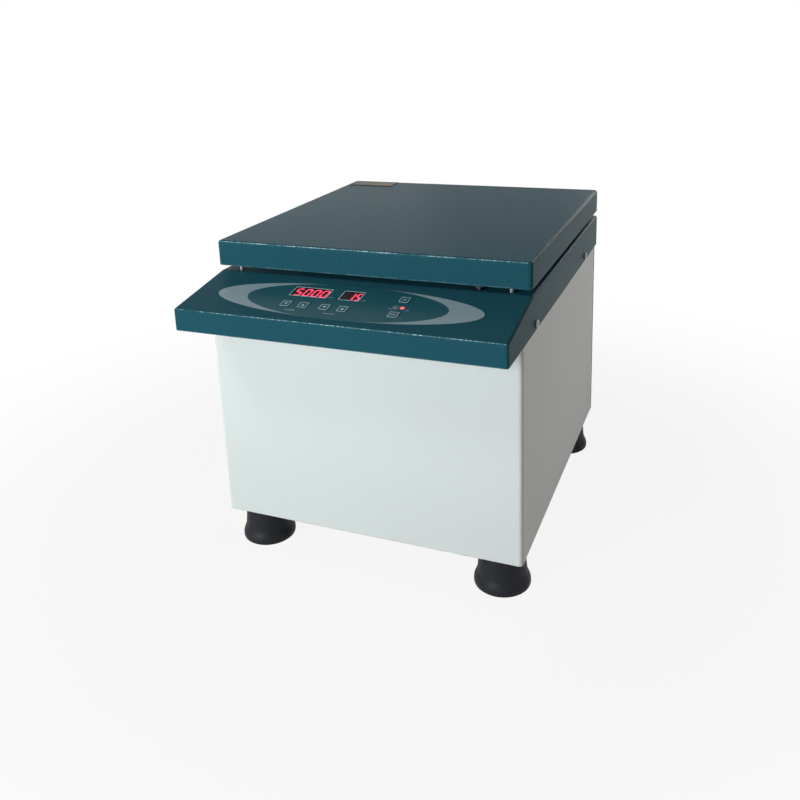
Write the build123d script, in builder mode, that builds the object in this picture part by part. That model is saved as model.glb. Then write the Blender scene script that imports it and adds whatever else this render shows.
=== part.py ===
from build123d import *
import os
from math import atan2, cos, pi, sin, tan

os.makedirs("parts", exist_ok=True)

# A bench-top laboratory centrifuge with a painted sheet-metal casing, a sloping control
# panel and a hinged lid over a chamber with an angle rotor.
# X is the width, Y runs from the front (-Y) to the rear, Z is up from the bench.
# All sizes are in millimetres.

# ------------------------------------------------------------------ driving sizes
# Casing
cowl_width = 330.0  # over the painted top cowl and over the lid
cowl_depth = 422.0  # from the front edge of the panel to the rear skirt
panel_depth = 81.4  # from the front edge of the panel to the front of the lid
bend_setback = 5.0  # the deck bends into the panel this far behind the lid's front
deck_height = 262.6  # the deck above the cabinet's underside
panel_edge_height = 248.0  # the panel's front edge above the cabinet's underside
skirt_height = 226.0  # the skirt's lower edge above the cabinet's underside
cowl_sheet = 1.5
cowl_edge_radius = 2.5
cabinet_side_inset = 2.5  # from the cowl's side to the cabinet's side
cabinet_front_setback = 56.4  # from the panel's front edge to the cabinet's front
cabinet_sheet = 1.5
cabinet_corner_radius = 4.0
cabinet_floor_radius = 2.0
cabinet_overlap = 14.0  # how far the cabinet's walls reach up inside the skirt
rear_frame_width = 12.0  # the folded frame round the cabinet's open rear
return_gap = 1.0  # between the cowl's folded underside and the cabinet's front

# Clearances
slip = 0.3  # round moving keys, posts and other small pieces
screw_cut = 20.0  # length of the cutter for a screw hole, centred on the face
shaft_gap = 0.05  # radial, shaft in bearing and pin in knuckle
hole_gap = 0.2  # radial, screw in hole

# Rear panel
rear_panel_thickness = 1.5
louvre_count = 8
louvre_pitch = 9.0
louvre_length = 70.0
louvre_height = 3.5
louvre_x = 85.0
louvre_low = 120.0  # the lowest louvre above the cabinet's underside
rear_screw_margin = 6.0
rear_screw_rows = 3

# Base and feet
base_plate_thickness = 4.0
base_plate_margin = 12.0
base_vent_radius = 28.0
foot_height = 41.0
foot_rim_radius = 28.0
foot_rim_height = 6.5
foot_waist_radius = 24.6
foot_waist_height = 13.0
foot_shoulder_radius = 15.6
foot_top_radius = 23.4
foot_edge = 2.0
foot_side_inset = 28.5  # foot centre to the cabinet's side
foot_end_inset = 31.0  # foot centre to the cabinet's front or rear
foot_recess_radius = 9.0
foot_recess_height = 16.0
foot_bolt_radius = 4.0
foot_bolt_head_radius = 7.0
foot_bolt_head_height = 5.0
foot_nut_height = 6.5

# Screws that show: one size of chrome pan head
pan_screw_radius = 2.0
pan_screw_length = 7.0
pan_head_radius = 3.8
pan_head_height = 2.4
pan_slot_width = 0.8
pan_slot_depth = 0.9
side_screw_height = 5.9  # above the skirt's lower edge
side_screw_front = 97.0  # from the front edge of the panel
side_screw_spacing = 243.0

# Lid
lid_gap = 6.5  # between deck and lid
lid_thickness = 25.9
lid_sheet = 1.2
lid_edge_radius = 3.0
lid_corner_radius = 4.0
liner_thickness = 1.2
liner_recess = 0.9  # the liner sits this far up inside the lid's rim
plate_length = 60.0
plate_width = 28.0
plate_thickness = 0.5
plate_side_margin = 5.5
plate_rear_margin = 4.0

# Lid catches and lid switch
catch_spacing = 287.0
catch_setback = 9.2  # behind the lid's front
catch_pin_radius = 2.0
catch_pin_reach = 11.0  # below the deck's top
catch_pin_head_radius = 5.0
catch_pin_head_height = 2.5
catch_hole_radius = 2.8
catch_socket_radius = 4.0
catch_socket_depth = 15.0
catch_socket_floor = 2.0
plunger_x = 113.0
plunger_radius = 1.6
plunger_height = 2.2  # above the deck
plunger_travel = 1.5
plunger_collar_radius = 3.0
plunger_collar_height = 1.5
striker_radius = 4.0
lid_switch_size = (20.0, 12.0, 14.0)
lid_switch_front = 4.0  # plunger axis to the switch's front face

# Hinges
hinge_spacing = 200.0
hinge_axis_out = 4.5  # behind the cowl's rear face
hinge_axis_up = 3.2  # above the deck
barrel_radius = 4.0
hinge_pin_radius = 2.2
hinge_pin_head_radius = 3.2
hinge_pin_head_height = 1.5
knuckle_length = 18.0
middle_knuckle_length = 22.0
knuckle_gap = 0.5
leaf_thickness = 2.0
cowl_leaf_height = 22.0
lid_leaf_height = 18.0
leaf_screw_spacing = 36.0
leaf_notch_gap = 1.3  # leaf edge to the other leaf's barrel

# Chamber
chamber_radius = 125.0
chamber_floor_height = 117.0  # above the cabinet's underside
bowl_sheet = 1.2
bowl_floor_radius = 14.0
bowl_flange_width = 20.0
bowl_hole_radius = 24.0
gasket_inset = 2.0
gasket_width = 8.0
gasket_edge = 2.5
bowl_screw_count = 6
bowl_screw_edge = 5.0  # screw centre to the flange's edge
bowl_nut_height = 3.0

# Motor and its mounts
motor_plate_side = 150.0
motor_plate_thickness = 4.0
motor_plate_corner = 12.0
mount_spacing = 122.0
mount_radius = 12.0
mount_height = 25.5
mount_stud_radius = 3.0
mount_edge = 1.5
motor_radius = 50.0
motor_height = 58.0
motor_wall = 3.0
motor_floor = 4.0
motor_flange_radius = 60.0
motor_bolt_circle = 55.0
motor_bolt_count = 4
motor_bolt_radius = 2.5
motor_bolt_head_radius = 4.2
motor_bolt_head_height = 3.5
motor_cap_thickness = 5.0
motor_boss_radius = 20.0
motor_boss_height = 14.0
motor_boss_lip = 3.0  # the boss above the upper bearing
shaft_opening_gap = 1.0  # radial, round the spindle where it passes the motor's ends
bearing_radius = 14.0
bearing_width = 9.0
bearing_seat_wall = 4.0
stator_bore = 30.0
stator_height = 34.0
winding_height = 4.0
winding_wall = 4.0
air_gap = 0.8
seal_flange_radius = 28.0
seal_flange_thickness = 2.4
seal_wall = 3.0
seal_lip_radius = 10.0
seal_boss_gap = 1.0  # between the seal and the motor's end, above and below

# Spindle and rotor
spindle_radius = 6.0
spindle_collar_radius = 9.0
spindle_collar_height = 4.0
spindle_stub = 1.0  # below the lower bearing
spindle_recess = 3.0  # below the nut's top
spindle_chamfer = 1.5
rotor_hub_radius = 24.0
rotor_hub_height = 26.0
rotor_tilt = 30.0  # cup axis from the vertical
rotor_plate = 8.0
rotor_rim_radius = 105.0
cup_count = 6
cup_circle = 55.0
cup_radius = 17.0
cup_wall = 1.5
cup_length = 84.0
cup_rise = 9.0  # cup mouth above the rotor plate's mid plane
cup_collar_radius = 19.5
cup_collar_height = 3.0
cup_floor_gap = 8.0  # lowest point of the cups above the chamber floor
rotor_seat_depth = 1.2
rotor_nut_radius = 13.0
rotor_nut_height = 14.0
rotor_nut_cap = 1.5
rotor_nut_edge = 1.4
nut_groove_radius = 1.4
nut_groove_count = 12

# Control panel, measured on the slope from its middle and down from the deck's bend
overlay_half_length = 136.0
overlay_half_height = 33.0
overlay_x = -3.0
overlay_drop = 45.4
overlay_thickness = 0.4
speed_window_size = (39.2, 17.6)
speed_window_x = -44.0
time_window_size = (20.8, 17.6)
time_window_x = -1.0
window_drop = 32.0
filter_margin = 3.0
filter_thickness = 1.5
key_width = 10.0
key_height = 10.8
key_rise = 0.5  # above the overlay
key_travel = 0.5
key_lip = 1.0
key_row_drop = 58.0
key_column_x = {
    "speed_down_key": -57.6,
    "speed_up_key": -39.3,
    "time_down_key": -17.3,
    "time_up_key": 1.3,
}
command_key_x = 52.1
start_key_drop = 30.7
stop_key_drop = 59.4
led_radius = 2.0
led_rise = 0.6
led_x = (49.0, 55.4)
led_drop = 45.4
board_length = 140.0
board_height = 64.0
board_drop = 44.0
board_thickness = 1.6
board_depth = 10.0  # board face below the panel face
board_edge = 4.5  # standoff centre to the board's edge
standoff_radius = 2.75
tact_side = 6.0
tact_stem = 1.0
display_margin = 0.6

# Electrics
power_board_size = (150.0, 70.0)
capacitor_radius = 9.0
capacitor_height = 30.0
capacitor_places = ((40.0, -18.0), (40.0, 4.0), (16.0, -18.0))  # from the board's middle
heat_sink_size = (60.0, 24.0, 8.0)
heat_sink_place = (-26.0, -22.0)
fin_count = 6
fin_pitch = 4.0
fin_thickness = 1.6
fin_height = 26.0
relay_size = (28.0, 16.0, 18.0)
relay_place = (-46.0, 12.0)
driver_size = (14.0, 14.0, 5.0)
driver_place = (-16.0, 8.0)
transformer_size = (56.0, 66.0, 50.0)
transformer_foot_gap = 4.0  # from its coil to the nut of the rear foot
coil_overhang = 9.0
lead_radius = 2.5
motor_lead_place = (0.0, 27.0)  # from the power board's middle
display_lead_radius = 3.0
display_lead_x = -62.0
display_lead_y = -11.0  # from the power board's middle
display_lead_drop = 20.0  # its socket below the bend, on the display board's back
display_lead_run = 62.0  # its first run, square to the display board
inlet_x = 100.0
inlet_height = 44.0  # inlet centre above the cabinet's underside
inlet_flange = (50.0, 28.0)
inlet_corner = 3.0
inlet_screw_spacing = 40.0
inlet_body = (28.0, 21.0)
inlet_well = (24.0, 16.5)
inlet_well_depth = 17.0
inlet_body_depth = 22.0
inlet_pin = (2.0, 4.0, 13.0)
inlet_pin_spacing = 14.0
inlet_earth_rise = 4.0
inlet_flange_thickness = 2.0
switch_x = 45.0
switch_flange = (24.0, 31.0)
switch_corner = 1.5
switch_body = (20.0, 27.0)
switch_body_depth = 20.0
switch_opening = (16.0, 21.6)
switch_flange_thickness = 2.0
rocker_width = 15.4
rocker_pivot_depth = 2.0  # behind the rear panel's outer face
rocker_root = 3.0  # pivot to the rocker's inner face
rocker_axle_radius = 1.5
rocker_axle_length = 1.2  # past each side of the rocker
rocker_well_depth = 7.6
rocker_reach = 6.2  # pivot to the rocker's outer corner, along Y
rocker_half = 9.6
rocker_taper = 1.0  # the inner face is this much shorter at each end
rocker_dip = 1.6
rocker_tilt = 8.0  # either side of the middle
fuse_x = 2.0
fuse_slot = 1.5
fuse_cap_radius = 7.5
fuse_cap_length = 6.0
fuse_cap_edge = 1.2
fuse_body_radius = 6.0
fuse_body_length = 32.0

# ------------------------------------------------------------------ derived places
base_z = foot_height
skirt_z = base_z + skirt_height
panel_edge_z = base_z + panel_edge_height
deck_z = base_z + deck_height
lid_z = deck_z + lid_gap
lid_top_z = lid_z + lid_thickness
liner_z = lid_z + liner_recess
wall_top_z = skirt_z + cabinet_overlap
floor_top_z = base_z + cabinet_sheet
base_top_z = floor_top_z + base_plate_thickness

total_depth = cowl_depth + hinge_axis_out + barrel_radius
front_y = -total_depth / 2
rear_y = front_y + cowl_depth
lid_front_y = front_y + panel_depth
bend_y = lid_front_y + bend_setback
cabinet_front_y = front_y + cabinet_front_setback
cabinet_rear_y = rear_y - rear_panel_thickness
cabinet_depth = cabinet_rear_y - cabinet_front_y
cabinet_mid_y = (cabinet_rear_y + cabinet_front_y) / 2
cabinet_width = cowl_width - 2 * cabinet_side_inset
lid_depth = rear_y - lid_front_y
lid_mid_y = (rear_y + lid_front_y) / 2
chamber_y = (bend_y + rear_y) / 2

slope = atan2(deck_z - panel_edge_z, bend_y - front_y)
panel = Plane(
    origin=(0, bend_y, deck_z), x_dir=(1, 0, 0), z_dir=(0, -sin(slope), cos(slope))
)
rear = Plane(origin=(0, rear_y, base_z), x_dir=(-1, 0, 0), z_dir=(0, 1, 0))
side_profile = Plane(origin=(0, 0, 0), x_dir=(0, 1, 0), z_dir=(1, 0, 0))
chamber_section = Plane(origin=(0, chamber_y, 0), x_dir=(1, 0, 0), z_dir=(0, -1, 0))
chamber_axis = Axis((0, chamber_y, 0), (0, 0, 1))


def stand_on_plane(z):
    """The horizontal plane at height z whose origin is on the chamber's axis."""
    return Plane(origin=(0, chamber_y, z))


# Feet and the bolts through them
foot_x = cabinet_width / 2 - foot_side_inset
foot_front_y = cabinet_front_y + foot_end_inset
foot_rear_y = cabinet_rear_y - foot_end_inset
foot_places = {
    "front_left_foot": (-foot_x, foot_front_y),
    "front_right_foot": (foot_x, foot_front_y),
    "rear_left_foot": (-foot_x, foot_rear_y),
    "rear_right_foot": (foot_x, foot_rear_y),
}

# Side screws, as planes whose Z points out of the skirt
side_screw_z = skirt_z + side_screw_height
side_screw_planes = [
    Plane(
        origin=(side * cowl_width / 2, front_y + side_screw_front + step, side_screw_z),
        x_dir=(0, 1, 0),
        z_dir=(side, 0, 0),
    )
    for side in (-1, 1)
    for step in (0, side_screw_spacing)
]

# Rear panel, as (x, height) seen from behind
rear_panel_height = skirt_height - slip
louvre_rows = [louvre_low + louvre_pitch * row for row in range(louvre_count)]
rear_screw_step = (rear_panel_height - 2 * rear_screw_margin) / (rear_screw_rows - 1)
rear_screw_places = [
    (x, rear_screw_margin + rear_screw_step * row)
    for x in (
        -cabinet_width / 2 + rear_screw_margin,
        cabinet_width / 2 - rear_screw_margin,
    )
    for row in range(rear_screw_rows)
]
inlet_screw_places = [
    (-inlet_x - inlet_screw_spacing / 2, inlet_height),
    (-inlet_x + inlet_screw_spacing / 2, inlet_height),
]

# Hinges
axis_y = rear_y + hinge_axis_out
axis_z = deck_z + hinge_axis_up
hinge_length = 2 * knuckle_length + middle_knuckle_length + 2 * knuckle_gap
hinge_centres = (-hinge_spacing / 2, hinge_spacing / 2)
cowl_leaf_screw_z = axis_z - barrel_radius - cowl_leaf_height / 2
lid_leaf_screw_z = axis_z + barrel_radius + leaf_notch_gap + lid_leaf_height / 2
cowl_leaf_screw_planes = [
    Plane(
        origin=(centre + step, rear_y + leaf_thickness, cowl_leaf_screw_z),
        x_dir=(-1, 0, 0),
        z_dir=(0, 1, 0),
    )
    for centre in hinge_centres
    for step in (-leaf_screw_spacing / 2, leaf_screw_spacing / 2)
]
lid_leaf_screw_planes = [
    Plane(
        origin=(centre + step, rear_y + leaf_thickness, lid_leaf_screw_z),
        x_dir=(-1, 0, 0),
        z_dir=(0, 1, 0),
    )
    for centre in hinge_centres
    for step in (-leaf_screw_spacing / 2, leaf_screw_spacing / 2)
]

# Keys, as (x, drop) on the panel
key_places = {name: (x, -key_row_drop) for name, x in key_column_x.items()}
key_places["start_key"] = (command_key_x, -start_key_drop)
key_places["stop_key"] = (command_key_x, -stop_key_drop)
key_places_list = list(key_places.values())
led_places = [(x, -led_drop) for x in led_x]
window_places = [
    (speed_window_x, speed_window_size),
    (time_window_x, time_window_size),
]

# Heights through the panel, from its painted face
panel_back = -cowl_sheet
key_lip_top = panel_back - slip
key_lip_bottom = key_lip_top - key_lip
tact_top = key_lip_bottom - key_travel - slip
filter_back = panel_back - filter_thickness
standoff_length = board_depth - cowl_sheet

# Catches and the lid switch, all in one row behind the lid's front
catch_y = lid_front_y + catch_setback
catch_places = [(-catch_spacing / 2, catch_y), (catch_spacing / 2, catch_y)]
deck_back_z = deck_z - cowl_sheet
pin_foot_z = deck_z - catch_pin_reach

# Chamber
flange_radius = chamber_radius + bowl_flange_width
chamber_floor_z = base_z + chamber_floor_height
bowl_screw_circle = flange_radius - bowl_screw_edge

# Motor stack
motor_plate_z = base_top_z + mount_height
motor_z = motor_plate_z + motor_plate_thickness
motor_top_z = motor_z + motor_height
motor_boss_top_z = motor_top_z + motor_boss_height
lower_bearing_z = motor_z + motor_floor
upper_bearing_z = motor_boss_top_z - motor_boss_lip - bearing_width
shaft_opening_radius = spindle_radius + shaft_opening_gap
bearing_seat_radius = bearing_radius + shaft_gap
stator_mid_z = (lower_bearing_z + bearing_width + motor_top_z) / 2
mount_places = [
    (x, y)
    for x in (-mount_spacing / 2, mount_spacing / 2)
    for y in (-mount_spacing / 2, mount_spacing / 2)
]

# Rotor: the dished plate's mid surface passes through the cup axis at cup_circle
tilt = rotor_tilt * pi / 180
cup_drop = (cup_length - cup_rise) * cos(tilt) + cup_radius * sin(tilt)
cup_centre_z = chamber_floor_z + cup_floor_gap + cup_drop
plate_half_z = rotor_plate / 2 / cos(tilt)
hub_joint_z = cup_centre_z - (cup_circle - rotor_hub_radius) * tan(tilt)
rim_z = cup_centre_z + (rotor_rim_radius - cup_circle) * tan(tilt)
hub_bottom_z = hub_joint_z - rotor_hub_height
hub_top_z = hub_joint_z + plate_half_z
spindle_top_z = hub_top_z + rotor_nut_height - spindle_recess
cup_planes = [
    Plane(
        origin=Vector(cup_circle, 0, 0).rotate(Axis.Z, 360 / cup_count * index)
        + Vector(0, chamber_y, cup_centre_z),
        x_dir=Vector(0, 1, 0).rotate(Axis.Z, 360 / cup_count * index),
        z_dir=Vector(-sin(tilt), 0, cos(tilt)).rotate(Axis.Z, 360 / cup_count * index),
    )
    for index in range(cup_count)
]


# ------------------------------------------------------------------ shared pieces
def pan_screw():
    """A cross-slotted pan-head screw, its head on the XY plane and its shank below."""
    with BuildPart() as screw:
        with BuildSketch(Plane.XY):
            Circle(pan_head_radius)
        extrude(amount=pan_head_height)
        fillet(screw.edges().group_by(Axis.Z)[-1], pan_head_height * 0.6)
        with BuildSketch(Plane.XY):
            Circle(pan_screw_radius)
        extrude(amount=-pan_screw_length)
        with BuildSketch(Plane.XY.offset(pan_head_height)):
            Rectangle(pan_head_radius, pan_slot_width)
            Rectangle(pan_slot_width, pan_head_radius)
        extrude(amount=-pan_slot_depth, mode=Mode.SUBTRACT)
    return screw.part


def standoff():
    """A round board standoff, standing up from the XY plane."""
    with BuildPart() as pillar:
        Cylinder(
            standoff_radius, standoff_length, align=(Align.CENTER, Align.CENTER, Align.MIN)
        )
    return pillar.part


one_screw = pan_screw()
one_standoff = standoff()

# ------------------------------------------------------------------ cabinet
with BuildPart() as cabinet_shell:
    with BuildSketch(Plane.XY.offset(base_z)):
        with Locations((0, cabinet_mid_y)):
            RectangleRounded(cabinet_width, cabinet_depth, cabinet_corner_radius)
    extrude(amount=wall_top_z - base_z)
    fillet(cabinet_shell.edges().group_by(Axis.Z)[0], cabinet_floor_radius)
    with BuildSketch(Plane.XY.offset(floor_top_z)):
        with Locations((0, cabinet_mid_y)):
            RectangleRounded(
                cabinet_width - 2 * cabinet_sheet,
                cabinet_depth - 2 * cabinet_sheet,
                cabinet_corner_radius - cabinet_sheet,
            )
    extrude(amount=wall_top_z - floor_top_z, mode=Mode.SUBTRACT)
    with BuildSketch(rear):
        with Locations((0, rear_frame_width)):
            Rectangle(
                cabinet_width - 2 * rear_frame_width,
                wall_top_z - base_z,
                align=(Align.CENTER, Align.MIN),
            )
    extrude(amount=-3 * (rear_panel_thickness + cabinet_sheet), mode=Mode.SUBTRACT)
    with Locations(*[(x, y, base_z) for x, y in foot_places.values()]):
        Cylinder(foot_bolt_radius + hole_gap, 4 * cabinet_sheet, mode=Mode.SUBTRACT)
    with Locations(*side_screw_planes):
        Cylinder(pan_screw_radius + hole_gap, screw_cut, mode=Mode.SUBTRACT)
    with BuildSketch(rear):
        with Locations(*rear_screw_places):
            Circle(pan_screw_radius + hole_gap)
    extrude(amount=-screw_cut, mode=Mode.SUBTRACT)
cabinet_shell.part.label = "cabinet_shell"
export_step(cabinet_shell.part, "parts/cabinet_shell.step")

# The flat steel plate inside the cabinet's floor, which carries the motor and the feet
with BuildPart() as base_plate:
    with BuildSketch(Plane.XY.offset(floor_top_z)):
        with Locations((0, cabinet_mid_y)):
            Rectangle(
                cabinet_width - 2 * base_plate_margin, cabinet_depth - 2 * base_plate_margin
            )
        with Locations(*foot_places.values()):
            Circle(foot_bolt_radius + hole_gap, mode=Mode.SUBTRACT)
        with Locations(*[(x, chamber_y + y) for x, y in mount_places]):
            Circle(mount_stud_radius + hole_gap, mode=Mode.SUBTRACT)
        with Locations((0, chamber_y)):
            Circle(base_vent_radius, mode=Mode.SUBTRACT)
    extrude(amount=base_plate_thickness)
base_plate.part.label = "base_plate"
export_step(base_plate.part, "parts/base_plate.step")

# ------------------------------------------------------------------ feet
for foot_name, (x, y) in foot_places.items():
    with BuildPart() as foot:
        with BuildSketch(Plane(origin=(x, y, 0), x_dir=(1, 0, 0), z_dir=(0, -1, 0))):
            with BuildLine():
                shoulder_start = (foot_rim_radius, foot_rim_height)
                shoulder_end = (foot_waist_radius, foot_waist_height)
                Polyline(
                    (foot_recess_radius, 0),
                    (foot_rim_radius - foot_edge, 0),
                    (foot_rim_radius, foot_edge),
                    shoulder_start,
                )
                RadiusArc(shoulder_start, shoulder_end, -foot_shoulder_radius)
                Polyline(
                    shoulder_end,
                    (foot_top_radius, foot_height),
                    (foot_bolt_radius + hole_gap, foot_height),
                    (foot_bolt_radius + hole_gap, foot_recess_height),
                    (foot_recess_radius, foot_recess_height),
                    (foot_recess_radius, 0),
                )
            make_face()
        revolve(axis=Axis((x, y, 0), (0, 0, 1)))
    foot.part.label = foot_name
    export_step(foot.part, f"parts/{foot_name}.step")

with BuildPart() as foot_bolts:
    for x, y in foot_places.values():
        with BuildSketch(Plane.XY.offset(foot_recess_height - foot_bolt_head_height)):
            with Locations((x, y)):
                RegularPolygon(foot_bolt_head_radius, 6)
        extrude(amount=foot_bolt_head_height)
        with BuildSketch(Plane.XY.offset(foot_recess_height)):
            with Locations((x, y)):
                Circle(foot_bolt_radius)
        extrude(amount=base_top_z - foot_recess_height)
        with BuildSketch(Plane.XY.offset(base_top_z)):
            with Locations((x, y)):
                RegularPolygon(foot_bolt_head_radius, 6)
        extrude(amount=foot_nut_height)
foot_bolts.part.label = "foot_bolts"
export_step(foot_bolts.part, "parts/foot_bolts.step")

# ------------------------------------------------------------------ rear panel
with BuildPart() as rear_panel:
    with BuildSketch(rear):
        Rectangle(cabinet_width, rear_panel_height, align=(Align.CENTER, Align.MIN))
        with Locations(*[(x, z) for x in (-louvre_x, louvre_x) for z in louvre_rows]):
            SlotOverall(louvre_length, louvre_height, mode=Mode.SUBTRACT)
        with Locations((-inlet_x, inlet_height)):
            Rectangle(inlet_body[0] + slip, inlet_body[1] + slip, mode=Mode.SUBTRACT)
        with Locations((-switch_x, inlet_height)):
            Rectangle(switch_body[0] + slip, switch_body[1] + slip, mode=Mode.SUBTRACT)
        with Locations((-fuse_x, inlet_height)):
            Circle(fuse_body_radius + hole_gap, mode=Mode.SUBTRACT)
        with Locations(*rear_screw_places, *inlet_screw_places):
            Circle(pan_screw_radius + hole_gap, mode=Mode.SUBTRACT)
    extrude(amount=-rear_panel_thickness)
rear_panel.part.label = "rear_panel"
export_step(rear_panel.part, "parts/rear_panel.step")

with BuildPart() as rear_panel_screws:
    with Locations(rear):
        with Locations(*rear_screw_places):
            add(one_screw)
    with Locations(rear.offset(inlet_flange_thickness)):
        with Locations(*inlet_screw_places):
            add(one_screw)
rear_panel_screws.part.label = "rear_panel_screws"
export_step(rear_panel_screws.part, "parts/rear_panel_screws.step")

# ------------------------------------------------------------------ top cowl
# The inner profile stays one sheet inside the outer one and is open below, apart from
# the folded underside of the panel, which reaches back to the cabinet's front.
inner_slope_front_z = panel_edge_z + cowl_sheet * tan(slope) - cowl_sheet / cos(slope)
inner_bend_y = bend_y + cowl_sheet * tan(slope / 2)
return_y = cabinet_front_y - return_gap
with BuildPart() as top_cowl:
    with BuildSketch(side_profile):
        Polygon(
            (front_y, skirt_z),
            (front_y, panel_edge_z),
            (bend_y, deck_z),
            (rear_y, deck_z),
            (rear_y, skirt_z),
            align=None,
        )
    extrude(amount=cowl_width / 2, both=True)
    rim_edges = top_cowl.edges().filter_by(
        lambda edge: abs(edge.center().Z - skirt_z) > 0.1 and abs(edge.center().Y - bend_y) > 0.1
    )
    fillet(rim_edges, cowl_edge_radius)
    with BuildSketch(side_profile):
        Polygon(
            (front_y + cowl_sheet, skirt_z + cowl_sheet),
            (front_y + cowl_sheet, inner_slope_front_z),
            (inner_bend_y, deck_back_z),
            (rear_y - cowl_sheet, deck_back_z),
            (rear_y - cowl_sheet, skirt_z - cowl_sheet),
            (return_y, skirt_z - cowl_sheet),
            (return_y, skirt_z + cowl_sheet),
            align=None,
        )
    extrude(amount=cowl_width / 2 - cowl_sheet, both=True, mode=Mode.SUBTRACT)
    # the chamber's mouth, the bowl's screws, the catch pins and the lid switch
    with BuildSketch(Plane.XY.offset(deck_z)):
        with Locations((0, chamber_y)):
            Circle(chamber_radius)
            with PolarLocations(bowl_screw_circle, bowl_screw_count):
                Circle(pan_screw_radius + hole_gap)
        with Locations(*catch_places):
            Circle(catch_hole_radius)
        with Locations((plunger_x, catch_y)):
            Circle(plunger_radius + slip)
    extrude(amount=-2 * cowl_sheet, mode=Mode.SUBTRACT)
    # windows, keys and lamps through the panel
    with BuildSketch(panel):
        for window_x, window_size in window_places:
            with Locations((window_x, -window_drop)):
                Rectangle(window_size[0] + slip, window_size[1] + slip)
        with Locations(*key_places_list):
            Rectangle(key_width + 2 * slip, key_height + 2 * slip)
        with Locations(*led_places):
            Circle(led_radius + slip)
    extrude(amount=-2 * cowl_sheet, mode=Mode.SUBTRACT)
    with Locations(*side_screw_planes):
        Cylinder(pan_screw_radius + hole_gap, screw_cut, mode=Mode.SUBTRACT)
    with Locations(*cowl_leaf_screw_planes):
        Cylinder(pan_screw_radius + hole_gap, screw_cut, mode=Mode.SUBTRACT)
top_cowl.part.label = "top_cowl"
export_step(top_cowl.part, "parts/top_cowl.step")

with BuildPart() as cowl_screws:
    with Locations(*side_screw_planes):
        add(one_screw)
    with Locations(*cowl_leaf_screw_planes):
        add(one_screw)
cowl_screws.part.label = "cowl_screws"
export_step(cowl_screws.part, "parts/cowl_screws.step")

# ------------------------------------------------------------------ control panel
with BuildPart() as control_overlay:
    with BuildSketch(panel):
        with Locations((overlay_x, -overlay_drop)):
            Ellipse(overlay_half_length, overlay_half_height)
        for window_x, window_size in window_places:
            with Locations((window_x, -window_drop)):
                Rectangle(window_size[0] + slip, window_size[1] + slip, mode=Mode.SUBTRACT)
        with Locations(*key_places_list):
            Rectangle(key_width + 2 * slip, key_height + 2 * slip, mode=Mode.SUBTRACT)
        with Locations(*led_places):
            Circle(led_radius + slip, mode=Mode.SUBTRACT)
    extrude(amount=overlay_thickness)
control_overlay.part.label = "control_overlay"
export_step(control_overlay.part, "parts/control_overlay.step")

# One red filter: a strip behind the sheet with a raised pane in each window
filter_left = speed_window_x - speed_window_size[0] / 2 - filter_margin
filter_right = time_window_x + time_window_size[0] / 2 + filter_margin
filter_height = speed_window_size[1] + 2 * filter_margin
with BuildPart() as display_filter:
    with BuildSketch(panel.offset(filter_back)):
        with Locations(((filter_left + filter_right) / 2, -window_drop)):
            Rectangle(filter_right - filter_left, filter_height)
    extrude(amount=filter_thickness)
    with BuildSketch(panel.offset(panel_back)):
        for window_x, window_size in window_places:
            with Locations((window_x, -window_drop)):
                Rectangle(*window_size)
    extrude(amount=cowl_sheet + overlay_thickness)
display_filter.part.label = "display_filter"
export_step(display_filter.part, "parts/display_filter.step")

board_face = panel.offset(-board_depth)
with BuildPart() as display_board:
    with BuildSketch(board_face):
        with Locations((overlay_x, -board_drop)):
            Rectangle(board_length, board_height)
    extrude(amount=-board_thickness)
display_board.part.label = "display_board"
export_step(display_board.part, "parts/display_board.step")

for display_name, window_x, window_size in (
    ("speed_display", speed_window_x, speed_window_size),
    ("time_display", time_window_x, time_window_size),
):
    with BuildPart() as display:
        with BuildSketch(board_face):
            with Locations((window_x, -window_drop)):
                Rectangle(window_size[0] - display_margin, window_size[1] - display_margin)
        extrude(amount=board_depth + filter_back - slip)
    display.part.label = display_name
    export_step(display.part, f"parts/{display_name}.step")

with BuildPart() as key_switches:
    with BuildSketch(board_face):
        with Locations(*key_places_list):
            Rectangle(tact_side, tact_side)
    extrude(amount=board_depth + tact_top - tact_stem)
    with BuildSketch(board_face):
        with Locations(*key_places_list):
            Circle(tact_side / 4)
    extrude(amount=board_depth + tact_top)
key_switches.part.label = "key_switches"
export_step(key_switches.part, "parts/key_switches.step")

for key_name, key_place in key_places.items():
    with BuildPart() as key:
        with BuildSketch(panel.offset(key_lip_bottom)):
            with Locations(key_place):
                Rectangle(key_width + 2 * key_lip, key_height + 2 * key_lip)
        extrude(amount=key_lip)
        with BuildSketch(panel.offset(key_lip_top)):
            with Locations(key_place):
                RectangleRounded(key_width, key_height, key_lip)
        extrude(amount=overlay_thickness + key_rise - key_lip_top)
        fillet(key.edges().group_by(Axis(panel.origin, panel.z_dir))[-1], key_rise / 2)
    key.part.label = key_name
    export_step(key.part, f"parts/{key_name}.step")

with BuildPart() as status_leds:
    with BuildSketch(board_face):
        with Locations(*led_places):
            Circle(led_radius)
    extrude(amount=board_depth + overlay_thickness + led_rise)
    fillet(status_leds.edges().group_by(Axis(panel.origin, panel.z_dir))[-1], led_rise)
status_leds.part.label = "status_leds"
export_step(status_leds.part, "parts/status_leds.step")

# ------------------------------------------------------------------ boards and leads
board_corner_places = [
    (
        overlay_x + x * (board_length / 2 - board_edge),
        -board_drop + y * (board_height / 2 - board_edge),
    )
    for x in (-1, 1)
    for y in (-1, 1)
]
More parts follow.
